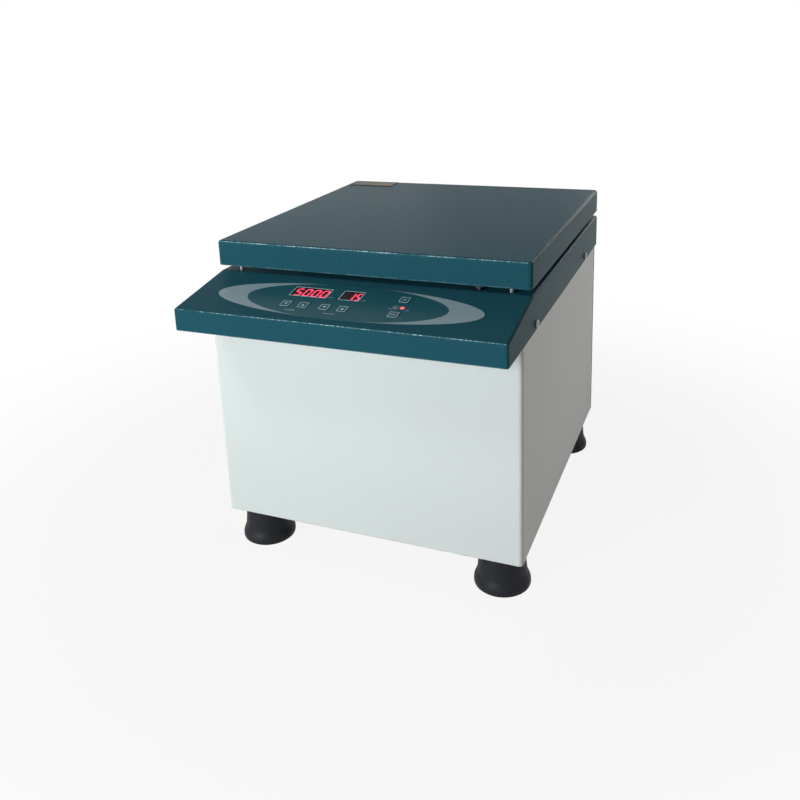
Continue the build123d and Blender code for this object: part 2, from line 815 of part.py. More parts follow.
# The power board lies midway between the cabinet's front and the motor plate.
power_board_y = (
    cabinet_front_y + cabinet_sheet + chamber_y - motor_plate_side / 2
) / 2
power_corner_places = [
    (
        x * (power_board_size[0] / 2 - board_edge),
        power_board_y + y * (power_board_size[1] / 2 - board_edge),
        base_top_z,
    )
    for x in (-1, 1)
    for y in (-1, 1)
]
with BuildPart() as board_standoffs:
    with Locations(board_face):
        with Locations(*board_corner_places):
            add(one_standoff)
    with Locations(*power_corner_places):
        add(one_standoff)
board_standoffs.part.label = "board_standoffs"
export_step(board_standoffs.part, "parts/board_standoffs.step")

power_board_z = base_top_z + standoff_length
power_face_z = power_board_z + board_thickness
on_board = (Align.CENTER, Align.CENTER, Align.MIN)
with BuildPart() as power_board:
    with BuildSketch(Plane.XY.offset(power_board_z)):
        with Locations((0, power_board_y)):
            Rectangle(*power_board_size)
    extrude(amount=board_thickness)
    # smoothing capacitors, the drive's heat sink, the relay and the driver
    with Locations((0, power_board_y, power_face_z)):
        with Locations(*capacitor_places):
            Cylinder(capacitor_radius, capacitor_height, align=on_board)
        with Locations(heat_sink_place):
            Box(*heat_sink_size, align=on_board)
            with GridLocations(0, fin_pitch, 1, fin_count):
                Box(heat_sink_size[0], fin_thickness, fin_height, align=on_board)
        with Locations(relay_place):
            Box(*relay_size, align=on_board)
        with Locations(driver_place):
            Box(*driver_size, align=on_board)
power_board.part.label = "power_board"
export_step(power_board.part, "parts/power_board.step")

# The transformer stands midway between the motor plate and the cabinet's side, in front
# of the rear foot's nut.
coil_length = transformer_size[1] + 2 * coil_overhang
transformer_x = (motor_plate_side / 2 + cabinet_width / 2 - cabinet_sheet) / 2
transformer_y = foot_rear_y - foot_bolt_head_radius - transformer_foot_gap - coil_length / 2
with BuildPart() as transformer:
    with Locations((transformer_x, transformer_y, base_top_z)):
        Box(*transformer_size, align=on_board)
        Box(
            transformer_size[0] - 2 * coil_overhang,
            coil_length,
            transformer_size[2] - coil_overhang,
            align=on_board,
        )
transformer.part.label = "transformer"
export_step(transformer.part, "parts/transformer.step")

# ------------------------------------------------------------------ chamber
with BuildPart() as chamber_bowl:
    with BuildSketch(chamber_section):
        Polygon(
            (bowl_hole_radius, chamber_floor_z - bowl_sheet),
            (chamber_radius + bowl_sheet, chamber_floor_z - bowl_sheet),
            (chamber_radius + bowl_sheet, deck_back_z - bowl_sheet),
            (flange_radius, deck_back_z - bowl_sheet),
            (flange_radius, deck_back_z),
            (chamber_radius, deck_back_z),
            (chamber_radius, chamber_floor_z),
            (bowl_hole_radius, chamber_floor_z),
            align=None,
        )
    revolve(axis=chamber_axis)
    circles = chamber_bowl.edges().filter_by(GeomType.CIRCLE)
    outer_corner = circles.filter_by(
        lambda edge: abs(edge.center().Z - chamber_floor_z + bowl_sheet) < 0.01
        and edge.radius > bowl_hole_radius + 1
    )
    inner_corner = circles.filter_by(
        lambda edge: abs(edge.center().Z - chamber_floor_z) < 0.01
        and edge.radius > bowl_hole_radius + 1
    )
    fillet(outer_corner, bowl_floor_radius + bowl_sheet)
    fillet(inner_corner, bowl_floor_radius)
    with Locations(stand_on_plane(deck_back_z)):
        with PolarLocations(bowl_screw_circle, bowl_screw_count):
            Cylinder(pan_screw_radius + hole_gap, 4 * bowl_sheet, mode=Mode.SUBTRACT)
chamber_bowl.part.label = "chamber_bowl"
export_step(chamber_bowl.part, "parts/chamber_bowl.step")

with BuildPart() as chamber_gasket:
    with BuildSketch(stand_on_plane(deck_z)):
        Circle(chamber_radius + gasket_inset + gasket_width)
        Circle(chamber_radius + gasket_inset, mode=Mode.SUBTRACT)
    extrude(amount=lid_gap + liner_recess - slip)
    fillet(chamber_gasket.edges().group_by(Axis.Z)[-1], gasket_edge)
chamber_gasket.part.label = "chamber_gasket"
export_step(chamber_gasket.part, "parts/chamber_gasket.step")

with BuildPart() as bowl_screws:
    with Locations(stand_on_plane(deck_z)):
        with PolarLocations(bowl_screw_circle, bowl_screw_count):
            add(one_screw)
    with Locations(stand_on_plane(deck_back_z - bowl_sheet)):
        with PolarLocations(bowl_screw_circle, bowl_screw_count):
            Cylinder(
                pan_head_radius,
                bowl_nut_height,
                align=(Align.CENTER, Align.CENTER, Align.MAX),
            )
bowl_screws.part.label = "bowl_screws"
export_step(bowl_screws.part, "parts/bowl_screws.step")

# ------------------------------------------------------------------ motor
with BuildPart() as motor_plate:
    with BuildSketch(stand_on_plane(motor_plate_z)):
        RectangleRounded(motor_plate_side, motor_plate_side, motor_plate_corner)
        with Locations(*mount_places):
            Circle(mount_stud_radius + hole_gap, mode=Mode.SUBTRACT)
        with PolarLocations(motor_bolt_circle, motor_bolt_count):
            Circle(motor_bolt_radius + hole_gap, mode=Mode.SUBTRACT)
    extrude(amount=motor_plate_thickness)
motor_plate.part.label = "motor_plate"
export_step(motor_plate.part, "parts/motor_plate.step")

with BuildPart() as shock_mounts:
    with Locations(stand_on_plane(base_top_z)):
        with Locations(*mount_places):
            Cylinder(
                mount_radius, mount_height, align=(Align.CENTER, Align.CENTER, Align.MIN)
            )
    fillet(shock_mounts.edges().filter_by(GeomType.CIRCLE), mount_edge)
    with Locations(stand_on_plane(floor_top_z)):
        with Locations(*mount_places):
            Cylinder(
                mount_stud_radius,
                motor_z - floor_top_z + mount_stud_radius,
                align=(Align.CENTER, Align.CENTER, Align.MIN),
            )
shock_mounts.part.label = "shock_mounts"
export_step(shock_mounts.part, "parts/shock_mounts.step")

with BuildPart() as motor_case:
    with BuildSketch(chamber_section):
        seat_outer = bearing_seat_radius + bearing_seat_wall
        Polygon(
            (shaft_opening_radius, motor_z),
            (motor_flange_radius, motor_z),
            (motor_flange_radius, motor_z + motor_floor),
            (motor_radius, motor_z + motor_floor),
            (motor_radius, motor_top_z),
            (motor_radius - motor_wall, motor_top_z),
            (motor_radius - motor_wall, motor_z + motor_floor),
            (seat_outer, motor_z + motor_floor),
            (seat_outer, lower_bearing_z + bearing_width),
            (bearing_seat_radius, lower_bearing_z + bearing_width),
            (bearing_seat_radius, lower_bearing_z),
            (shaft_opening_radius, lower_bearing_z),
            align=None,
        )
    revolve(axis=chamber_axis)
    with Locations(stand_on_plane(motor_z)):
        with PolarLocations(motor_bolt_circle, motor_bolt_count):
            Cylinder(motor_bolt_radius + hole_gap, 4 * motor_floor, mode=Mode.SUBTRACT)
motor_case.part.label = "motor_case"
export_step(motor_case.part, "parts/motor_case.step")

with BuildPart() as motor_top_cap:
    with BuildSketch(chamber_section):
        Polygon(
            (bearing_seat_radius, motor_top_z),
            (motor_radius, motor_top_z),
            (motor_radius, motor_top_z + motor_cap_thickness),
            (motor_boss_radius, motor_top_z + motor_cap_thickness),
            (motor_boss_radius, motor_boss_top_z),
            (shaft_opening_radius, motor_boss_top_z),
            (shaft_opening_radius, upper_bearing_z + bearing_width),
            (bearing_seat_radius, upper_bearing_z + bearing_width),
            align=None,
        )
    revolve(axis=chamber_axis)
motor_top_cap.part.label = "motor_top_cap"
export_step(motor_top_cap.part, "parts/motor_top_cap.step")

with BuildPart() as motor_bolts:
    with BuildSketch(stand_on_plane(motor_z + motor_floor)):
        with PolarLocations(motor_bolt_circle, motor_bolt_count):
            RegularPolygon(motor_bolt_head_radius, 6)
    extrude(amount=motor_bolt_head_height)
    with BuildSketch(stand_on_plane(motor_z + motor_floor)):
        with PolarLocations(motor_bolt_circle, motor_bolt_count):
            Circle(motor_bolt_radius)
    extrude(amount=-(motor_floor + motor_plate_thickness + motor_bolt_head_height))
    with BuildSketch(stand_on_plane(motor_plate_z)):
        with PolarLocations(motor_bolt_circle, motor_bolt_count):
            RegularPolygon(motor_bolt_head_radius, 6)
    extrude(amount=-motor_bolt_head_height)
motor_bolts.part.label = "motor_bolts"
export_step(motor_bolts.part, "parts/motor_bolts.step")

with BuildPart() as motor_stator:
    with BuildSketch(stand_on_plane(stator_mid_z)):
        Circle(motor_radius - motor_wall - shaft_gap)
        Circle(stator_bore, mode=Mode.SUBTRACT)
    extrude(amount=stator_height / 2, both=True)
    with BuildSketch(stand_on_plane(stator_mid_z)):
        Circle(motor_radius - motor_wall - winding_wall)
        Circle(stator_bore + winding_wall, mode=Mode.SUBTRACT)
    extrude(amount=stator_height / 2 + winding_height, both=True)
motor_stator.part.label = "motor_stator"
export_step(motor_stator.part, "parts/motor_stator.step")

with BuildPart() as spindle_bearings:
    for bearing_z in (lower_bearing_z, upper_bearing_z):
        with BuildSketch(stand_on_plane(bearing_z)):
            Circle(bearing_radius)
            Circle(spindle_radius + shaft_gap, mode=Mode.SUBTRACT)
        extrude(amount=bearing_width)
spindle_bearings.part.label = "spindle_bearings"
export_step(spindle_bearings.part, "parts/spindle_bearings.step")

with BuildPart() as spindle_seal:
    with BuildSketch(chamber_section):
        seal_foot_z = motor_top_z + motor_cap_thickness + seal_boss_gap
        groove_low_z = chamber_floor_z - bowl_sheet
        seal_top_z = chamber_floor_z + seal_flange_thickness
        Polygon(
            (motor_boss_radius + shaft_gap, seal_foot_z),
            (bowl_hole_radius - slip, seal_foot_z),
            (bowl_hole_radius - slip, groove_low_z - seal_flange_thickness),
            (seal_flange_radius, groove_low_z - seal_flange_thickness),
            (seal_flange_radius, groove_low_z),
            (bowl_hole_radius - slip, groove_low_z),
            (bowl_hole_radius - slip, chamber_floor_z),
            (seal_flange_radius, chamber_floor_z),
            (seal_flange_radius, seal_top_z),
            (seal_lip_radius, seal_top_z),
            (seal_lip_radius, seal_top_z - seal_wall),
            (motor_boss_radius + shaft_gap, motor_boss_top_z + seal_boss_gap),
            align=None,
        )
    revolve(axis=chamber_axis)
spindle_seal.part.label = "spindle_seal"
export_step(spindle_seal.part, "parts/spindle_seal.step")

# ------------------------------------------------------------------ spindle and rotor
with BuildPart() as spindle:
    with BuildSketch(stand_on_plane(lower_bearing_z - spindle_stub)):
        Circle(spindle_radius)
    extrude(amount=spindle_top_z - lower_bearing_z + spindle_stub)
    with BuildSketch(stand_on_plane(hub_bottom_z - spindle_collar_height)):
        Circle(spindle_collar_radius)
    extrude(amount=spindle_collar_height)
    chamfer(spindle.edges().group_by(Axis.Z)[-1], spindle_chamfer)
spindle.part.label = "spindle"
export_step(spindle.part, "parts/spindle.step")

with BuildPart() as motor_armature:
    with BuildSketch(stand_on_plane(stator_mid_z)):
        Circle(stator_bore - air_gap)
        Circle(spindle_radius + shaft_gap, mode=Mode.SUBTRACT)
    extrude(amount=stator_height / 2, both=True)
motor_armature.part.label = "motor_armature"
export_step(motor_armature.part, "parts/motor_armature.step")

with BuildPart() as rotor_head:
    with BuildSketch(chamber_section):
        Polygon(
            (spindle_radius + shaft_gap, hub_bottom_z),
            (rotor_hub_radius, hub_bottom_z),
            (rotor_hub_radius, hub_joint_z - plate_half_z),
            (rotor_rim_radius, rim_z - plate_half_z),
            (rotor_rim_radius, rim_z + plate_half_z),
            (rotor_hub_radius, hub_top_z),
            (spindle_radius + shaft_gap, hub_top_z),
            align=None,
        )
    revolve(axis=chamber_axis)
    with Locations(*cup_planes):
        Cylinder(cup_radius + slip, 4 * rotor_plate, mode=Mode.SUBTRACT)
        with Locations((0, 0, rotor_plate / 2 - rotor_seat_depth)):
            Cylinder(
                cup_collar_radius + slip,
                rotor_plate,
                align=(Align.CENTER, Align.CENTER, Align.MIN),
                mode=Mode.SUBTRACT,
            )
rotor_head.part.label = "rotor_head"
export_step(rotor_head.part, "parts/rotor_head.step")

collar_seat = rotor_plate / 2 - rotor_seat_depth
with BuildPart() as tube_cups:
    with Locations(*cup_planes):
        with Locations((0, 0, cup_rise)):
            Cylinder(cup_radius, cup_length, align=(Align.CENTER, Align.CENTER, Align.MAX))
        with Locations((0, 0, collar_seat)):
            Cylinder(
                cup_collar_radius,
                cup_collar_height,
                align=(Align.CENTER, Align.CENTER, Align.MIN),
            )
    with Locations(*cup_planes):
        with Locations((0, 0, cup_rise)):
            Cylinder(
                cup_radius - cup_wall,
                cup_length - cup_wall,
                align=(Align.CENTER, Align.CENTER, Align.MAX),
                mode=Mode.SUBTRACT,
            )
tube_cups.part.label = "tube_cups"
export_step(tube_cups.part, "parts/tube_cups.step")

with BuildPart() as rotor_nut:
    with BuildSketch(stand_on_plane(hub_top_z)):
        Circle(rotor_nut_radius)
        Circle(spindle_radius + shaft_gap, mode=Mode.SUBTRACT)
    extrude(amount=rotor_nut_height)
    with BuildSketch(stand_on_plane(hub_top_z + rotor_nut_height - rotor_nut_cap)):
        Circle(rotor_nut_radius)
    extrude(amount=rotor_nut_cap)
    fillet(rotor_nut.edges().group_by(Axis.Z)[-1], rotor_nut_edge)
    with Locations(stand_on_plane(hub_top_z)):
        with PolarLocations(rotor_nut_radius, nut_groove_count):
            Cylinder(nut_groove_radius, 3 * rotor_nut_height, mode=Mode.SUBTRACT)
rotor_nut.part.label = "rotor_nut"
export_step(rotor_nut.part, "parts/rotor_nut.step")

# ------------------------------------------------------------------ lid
with BuildPart() as lid_pan:
    with BuildSketch(Plane.XY.offset(lid_z)):
        with Locations((0, lid_mid_y)):
            RectangleRounded(cowl_width, lid_depth, lid_corner_radius)
    extrude(amount=lid_thickness)
    fillet(lid_pan.edges().group_by(Axis.Z)[-1], lid_edge_radius)
    with BuildSketch(Plane.XY.offset(lid_z)):
        with Locations((0, lid_mid_y)):
            RectangleRounded(
                cowl_width - 2 * lid_sheet,
                lid_depth - 2 * lid_sheet,
                lid_corner_radius - lid_sheet,
            )
    extrude(amount=lid_thickness - lid_sheet, mode=Mode.SUBTRACT)
    with Locations(*lid_leaf_screw_planes):
        Cylinder(pan_screw_radius + hole_gap, screw_cut, mode=Mode.SUBTRACT)
lid_pan.part.label = "lid_pan"
export_step(lid_pan.part, "parts/lid_pan.step")

with BuildPart() as lid_liner:
    with BuildSketch(Plane.XY.offset(liner_z)):
        with Locations((0, lid_mid_y)):
            RectangleRounded(
                cowl_width - 2 * lid_sheet - slip,
                lid_depth - 2 * lid_sheet - slip,
                lid_corner_radius - lid_sheet,
            )
        with Locations(*catch_places):
            Circle(catch_pin_radius + hole_gap, mode=Mode.SUBTRACT)
    extrude(amount=liner_thickness)
    # the post that meets the lid switch's plunger
    with BuildSketch(Plane.XY.offset(deck_z + plunger_height + slip)):
        with Locations((plunger_x, catch_y)):
            Circle(striker_radius)
    extrude(until=Until.NEXT)
lid_liner.part.label = "lid_liner"
export_step(lid_liner.part, "parts/lid_liner.step")

with BuildPart() as lid_catch_pins:
    with BuildSketch(Plane.XY.offset(pin_foot_z)):
        with Locations(*catch_places):
            Circle(catch_pin_radius)
    extrude(amount=liner_z + liner_thickness - pin_foot_z)
    fillet(lid_catch_pins.edges().group_by(Axis.Z)[0], catch_pin_radius * 0.6)
    with BuildSketch(Plane.XY.offset(liner_z + liner_thickness)):
        with Locations(*catch_places):
            Circle(catch_pin_head_radius)
    extrude(amount=catch_pin_head_height)
lid_catch_pins.part.label = "lid_catch_pins"
export_step(lid_catch_pins.part, "parts/lid_catch_pins.step")

with BuildPart() as catch_sockets:
    with BuildSketch(Plane.XY.offset(deck_back_z)):
        with Locations(*catch_places):
            Circle(catch_socket_radius)
    extrude(amount=-catch_socket_depth)
    with BuildSketch(Plane.XY.offset(deck_back_z)):
        with Locations(*catch_places):
            Circle(catch_hole_radius)
    extrude(amount=-(catch_socket_depth - catch_socket_floor), mode=Mode.SUBTRACT)
catch_sockets.part.label = "catch_sockets"
export_step(catch_sockets.part, "parts/catch_sockets.step")

# The blank rating plate, on the lid's rear left corner
plate_x = -cowl_width / 2 + plate_side_margin + plate_length / 2
plate_y = rear_y - plate_rear_margin - plate_width / 2
with BuildPart() as lid_plate:
    with BuildSketch(Plane.XY.offset(lid_top_z)):
        with Locations((plate_x, plate_y)):
            Rectangle(plate_length, plate_width)
    extrude(amount=plate_thickness)
lid_plate.part.label = "lid_plate"
export_step(lid_plate.part, "parts/lid_plate.step")

# ------------------------------------------------------------------ lid switch
switch_floor_z = deck_back_z - lid_switch_size[2]
collar_top_z = deck_back_z - slip
collar_bottom_z = collar_top_z - plunger_collar_height
with BuildPart() as lid_switch:
    with BuildSketch(Plane.XY.offset(deck_back_z)):
        with Locations((plunger_x, catch_y - lid_switch_front)):
            Rectangle(
                lid_switch_size[0], lid_switch_size[1], align=(Align.CENTER, Align.MIN)
            )
    extrude(amount=-lid_switch_size[2])
    with BuildSketch(Plane.XY.offset(deck_back_z)):
        with Locations((plunger_x, catch_y)):
            Circle(plunger_collar_radius + slip)
    extrude(
        amount=-(deck_back_z - collar_bottom_z + plunger_travel + slip), mode=Mode.SUBTRACT
    )
lid_switch.part.label = "lid_switch"
export_step(lid_switch.part, "parts/lid_switch.step")

with BuildPart() as lid_switch_plunger:
    with BuildSketch(Plane.XY.offset(collar_bottom_z)):
        with Locations((plunger_x, catch_y)):
            Circle(plunger_collar_radius)
    extrude(amount=plunger_collar_height)
    with BuildSketch(Plane.XY.offset(collar_top_z)):
        with Locations((plunger_x, catch_y)):
            Circle(plunger_radius)
    extrude(amount=deck_z + plunger_height - collar_top_z)
    fillet(lid_switch_plunger.edges().group_by(Axis.Z)[-1], plunger_radius * 0.6)
lid_switch_plunger.part.label = "lid_switch_plunger"
export_step(lid_switch_plunger.part, "parts/lid_switch_plunger.step")

# ------------------------------------------------------------------ hinges
# Each hinge has two knuckles on the cowl's leaf and one on the lid's leaf between them.
outer_knuckle_x = middle_knuckle_length / 2 + knuckle_gap + knuckle_length / 2
knuckle_section = Plane(origin=(0, axis_y, axis_z), x_dir=(0, 1, 0), z_dir=(1, 0, 0))
with BuildPart() as cowl_hinge_leaves:
    for centre in hinge_centres:
        with BuildSketch(rear):
            with Locations((-centre, axis_z - barrel_radius - base_z)):
                Rectangle(hinge_length, cowl_leaf_height, align=(Align.CENTER, Align.MAX))
        extrude(amount=leaf_thickness)
        for knuckle_x in (centre - outer_knuckle_x, centre + outer_knuckle_x):
            with BuildSketch(knuckle_section.offset(knuckle_x - knuckle_length / 2)):
                Circle(barrel_radius)
                with Locations((-hinge_axis_out, -barrel_radius)):
                    Rectangle(
                        leaf_thickness, barrel_radius, align=(Align.MIN, Align.MIN)
                    )
            extrude(amount=knuckle_length)
            with BuildSketch(knuckle_section.offset(knuckle_x - knuckle_length / 2)):
                Circle(hinge_pin_radius + shaft_gap)
            extrude(amount=knuckle_length, mode=Mode.SUBTRACT)
    with Locations(*cowl_leaf_screw_planes):
        Cylinder(pan_screw_radius + hole_gap, screw_cut, mode=Mode.SUBTRACT)
cowl_hinge_leaves.part.label = "cowl_hinge_leaves"
export_step(cowl_hinge_leaves.part, "parts/cowl_hinge_leaves.step")

lid_leaf_z = axis_z + barrel_radius + leaf_notch_gap
with BuildPart() as lid_hinge_leaves:
    for centre in hinge_centres:
        with BuildSketch(rear):
            with Locations((-centre, lid_leaf_z - base_z)):
                Rectangle(hinge_length, lid_leaf_height, align=(Align.CENTER, Align.MIN))
        extrude(amount=leaf_thickness)
        with BuildSketch(knuckle_section.offset(centre - middle_knuckle_length / 2)):
            Circle(barrel_radius)
            with Locations((-hinge_axis_out, 0)):
                Rectangle(
                    leaf_thickness,
                    barrel_radius + leaf_notch_gap,
                    align=(Align.MIN, Align.MIN),
                )
        extrude(amount=middle_knuckle_length)
        with BuildSketch(knuckle_section.offset(centre - middle_knuckle_length / 2)):
            Circle(hinge_pin_radius + shaft_gap)
        extrude(amount=middle_knuckle_length, mode=Mode.SUBTRACT)
    with Locations(*lid_leaf_screw_planes):
        Cylinder(pan_screw_radius + hole_gap, screw_cut, mode=Mode.SUBTRACT)
lid_hinge_leaves.part.label = "lid_hinge_leaves"
export_step(lid_hinge_leaves.part, "parts/lid_hinge_leaves.step")

with BuildPart() as hinge_pins:
    for centre in hinge_centres:
        with BuildSketch(knuckle_section.offset(centre - hinge_length / 2)):
            Circle(hinge_pin_radius)
        extrude(amount=hinge_length)
        with BuildSketch(knuckle_section.offset(centre + hinge_length / 2)):
            Circle(hinge_pin_head_radius)
        extrude(amount=hinge_pin_head_height)
        with BuildSketch(knuckle_section.offset(centre - hinge_length / 2)):
            Circle(hinge_pin_head_radius)
        extrude(amount=-hinge_pin_head_height)
hinge_pins.part.label = "hinge_pins"
export_step(hinge_pins.part, "parts/hinge_pins.step")

with BuildPart() as lid_hinge_screws:
    with Locations(*lid_leaf_screw_planes):
        add(one_screw)
lid_hinge_screws.part.label = "lid_hinge_screws"
export_step(lid_hinge_screws.part, "parts/lid_hinge_screws.step")

# ------------------------------------------------------------------ mains fittings
# The mains inlet has a well with three flat pins, seen from behind the casing.
inlet_well_floor = inlet_flange_thickness - inlet_well_depth
inlet_centre = (-inlet_x, inlet_height)
pin_places = [
    (-inlet_x - inlet_pin_spacing / 2, inlet_height - inlet_earth_rise / 2),
    (-inlet_x, inlet_height + inlet_earth_rise / 2),
    (-inlet_x + inlet_pin_spacing / 2, inlet_height - inlet_earth_rise / 2),
]
with BuildPart() as inlet_socket:
    with BuildSketch(rear):
        with Locations(inlet_centre):
            RectangleRounded(*inlet_flange, inlet_corner)
        with Locations(*inlet_screw_places):
            Circle(pan_screw_radius + hole_gap, mode=Mode.SUBTRACT)
    extrude(amount=inlet_flange_thickness)
    with BuildSketch(rear):
        with Locations(inlet_centre):
            Rectangle(*inlet_body)
    extrude(amount=-inlet_body_depth)
    with BuildSketch(rear.offset(inlet_flange_thickness)):
        with Locations(inlet_centre):
            Rectangle(*inlet_well)
        well_corners = vertices().group_by(Axis.Y)[-1]
        chamfer(well_corners, inlet_well[1] / 4)
    extrude(amount=-inlet_well_depth, mode=Mode.SUBTRACT)
    with BuildSketch(rear.offset(inlet_well_floor)):
        with Locations(*pin_places):
            Rectangle(inlet_pin[0], inlet_pin[1])
    extrude(amount=inlet_pin[2])
inlet_socket.part.label = "inlet_socket"
export_step(inlet_socket.part, "parts/inlet_socket.step")

with BuildPart() as fuse_holder:
    with BuildSketch(rear):
        with Locations((-fuse_x, inlet_height)):
            Circle(fuse_cap_radius)
    extrude(amount=fuse_cap_length)
    fillet(fuse_holder.edges().group_by(Axis.Y)[-1], fuse_cap_edge)
    with BuildSketch(rear):
        with Locations((-fuse_x, inlet_height)):
            Circle(fuse_body_radius)
    extrude(amount=-fuse_body_length)
    with BuildSketch(rear.offset(fuse_cap_length)):
        with Locations((-fuse_x, inlet_height)):
            Rectangle(fuse_cap_radius * 1.4, fuse_slot)
    extrude(amount=-fuse_slot, mode=Mode.SUBTRACT)
fuse_holder.part.label = "fuse_holder"
export_step(fuse_holder.part, "parts/fuse_holder.step")

# ------------------------------------------------------------------ power switch
pivot_y = rear_y - rocker_pivot_depth
pivot_z = base_z + inlet_height
rock = rocker_tilt * pi / 180
rocker_plane = Plane(
    origin=(switch_x, pivot_y, pivot_z), x_dir=(0, cos(rock), sin(rock)), z_dir=(1, 0, 0)
)
switch_centre = (-switch_x, inlet_height)
with BuildPart() as switch_frame:
    with BuildSketch(rear):
        with Locations(switch_centre):
            RectangleRounded(*switch_flange, switch_corner)
    extrude(amount=switch_flange_thickness)
    with BuildSketch(rear):
        with Locations(switch_centre):
            Rectangle(*switch_body)
    extrude(amount=-switch_body_depth)
    with BuildSketch(rear.offset(switch_flange_thickness)):
        with Locations(switch_centre):
            Rectangle(*switch_opening)
    extrude(amount=-(switch_flange_thickness + rocker_well_depth), mode=Mode.SUBTRACT)
    with BuildSketch(rocker_plane):
        Circle(rocker_axle_radius + shaft_gap)
    extrude(amount=rocker_width / 2 + rocker_axle_length + slip, both=True, mode=Mode.SUBTRACT)
switch_frame.part.label = "switch_frame"
export_step(switch_frame.part, "parts/switch_frame.step")

with BuildPart() as power_rocker:
    with BuildSketch(rocker_plane):
        Polygon(
            (rocker_reach, rocker_half),
            (rocker_reach - rocker_dip, 0),
            (rocker_reach, -rocker_half),
            (-rocker_root, -rocker_half + rocker_taper),
            (-rocker_root, rocker_half - rocker_taper),
            align=None,
        )
    extrude(amount=rocker_width / 2, both=True)
    with BuildSketch(rocker_plane):
        Circle(rocker_axle_radius)
    extrude(amount=rocker_width / 2 + rocker_axle_length, both=True)
power_rocker.part.label = "power_rocker"
export_step(power_rocker.part, "parts/power_rocker.step")

# ------------------------------------------------------------------ internal leads


def bend_radii(points):
    """The largest tangent arc at each corner of a route, 0.45 of the shorter run."""
    radii = []
    for before, corner, after in zip(points, points[1:], points[2:]):
        run_in = Vector(corner) - Vector(before)
        run_out = Vector(after) - Vector(corner)
        half_turn = run_in.get_angle(run_out) * pi / 360
        radii.append(0.45 * min(run_in.length, run_out.length) / tan(half_turn))
    return radii


motor_lead_x = motor_lead_place[0]
motor_lead_y = power_board_y + motor_lead_place[1]
motor_lead_points = [
    (motor_lead_x, motor_lead_y, power_face_z),
    (motor_lead_x, motor_lead_y, stator_mid_z),
    (motor_lead_x, chamber_y - motor_radius, stator_mid_z),
]
# The display's lead leaves its board square to it, falls inside the cabinet's front and
# ends upright on the power board.
lead_socket = (display_lead_x, -display_lead_drop, 0.0)
board_back = board_face.offset(-board_thickness)
lead_start = board_back.from_local_coords(lead_socket)
lead_turn = board_back.offset(-display_lead_run).from_local_coords(lead_socket)
lead_end_y = power_board_y + display_lead_y
lead_fall = (lead_turn.Z - power_face_z) / 3
display_lead_points = [
    tuple(lead_start),
    tuple(lead_turn),
    (display_lead_x, (lead_turn.Y + 3 * lead_end_y) / 4, power_face_z + 2 * lead_fall),
    (display_lead_x, lead_end_y, power_face_z + lead_fall),
    (display_lead_x, lead_end_y, power_face_z),
]
for lead_name, points, radius in (
    ("motor_lead", motor_lead_points, lead_radius),
    ("display_lead", display_lead_points, display_lead_radius),
):
    radii = bend_radii(points)
    with BuildPart() as lead:
        with BuildLine() as route:
            FilletPolyline(*points, radius=radii)
        with BuildSketch(Plane(origin=route.line @ 0, z_dir=route.line % 0)):
            Circle(radius)
        sweep(path=route.line)
    lead.part.label = lead_name
    export_step(lead.part, f"parts/{lead_name}.step")
    swept = pi * radius**2 * route.wires()[0].length
    print(lead_name, "bend radii", [round(value, 1) for value in radii])
    print(lead_name, "volume over section times length", round(lead.part.volume / swept, 4))
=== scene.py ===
"""A bench-top laboratory centrifuge: its finishes, printed panel, lamps, feet and fittings.

All sizes are in metres in the frame's own axes: X to the right, Y to the rear, Z up.
"""
import logging
import math
from collections.abc import Sequence
from dataclasses import dataclass
from enum import Enum

import bmesh
import bpy
from mathutils import Matrix, Vector


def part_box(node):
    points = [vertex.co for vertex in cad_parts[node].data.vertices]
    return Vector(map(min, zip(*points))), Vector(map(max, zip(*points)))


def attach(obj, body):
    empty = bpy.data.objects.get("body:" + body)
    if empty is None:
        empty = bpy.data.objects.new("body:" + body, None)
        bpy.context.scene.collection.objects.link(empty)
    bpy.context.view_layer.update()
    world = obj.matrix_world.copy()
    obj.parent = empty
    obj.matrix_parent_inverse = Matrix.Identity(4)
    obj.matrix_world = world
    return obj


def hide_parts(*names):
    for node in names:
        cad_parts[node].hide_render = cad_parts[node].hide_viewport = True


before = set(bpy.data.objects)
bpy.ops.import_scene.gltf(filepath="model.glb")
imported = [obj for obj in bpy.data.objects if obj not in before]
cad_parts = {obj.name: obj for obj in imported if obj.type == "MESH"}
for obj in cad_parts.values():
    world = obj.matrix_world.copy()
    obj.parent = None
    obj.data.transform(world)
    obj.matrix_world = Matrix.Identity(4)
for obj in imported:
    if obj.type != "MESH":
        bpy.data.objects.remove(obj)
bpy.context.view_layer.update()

log = logging.getLogger("centrifuge")

MM = 0.001

Colour = tuple[float, float, float]
Corner = tuple[float, float, float]
Point2 = tuple[float, float]
Value = "Signal | float | Sequence[float]"


class Body(Enum):
    """The moving bodies that new pieces ride on."""

    CABINET = "cabinet"
    LID = "lid"
    ROCKER = "power_rocker"
    SPEED_DOWN = "speed_down_key"
    SPEED_UP = "speed_up_key"
    TIME_DOWN = "time_down_key"
    TIME_UP = "time_up_key"
    START = "start_key"
    STOP = "stop_key"


class Grain(Enum):
    """Which way a metal's fine scratches run."""

    NONE = "none"
    ACROSS = "along X"
    UPRIGHT = "along Z"
    TURNED = "round the chamber's axis"


class Mark(Enum):
    """What is printed on a key."""

    DOWN = "arrow down"
    UP = "arrow up"
    ON = "ON"
    OFF = "OFF"


# ------------------------------------------------------------------ places from the frame
def box_of(node: str) -> tuple[Vector, Vector]:
    """The lowest and highest corner of a CAD node."""
    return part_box(node)


COWL_LOW, COWL_HIGH = box_of("top_cowl")
LID_LOW, LID_HIGH = box_of("lid_pan")
SHELL_LOW = box_of("cabinet_shell")[0]
BOWL_LOW, BOWL_HIGH = box_of("chamber_bowl")
CHAMBER_Y = (BOWL_LOW.y + BOWL_HIGH.y) / 2


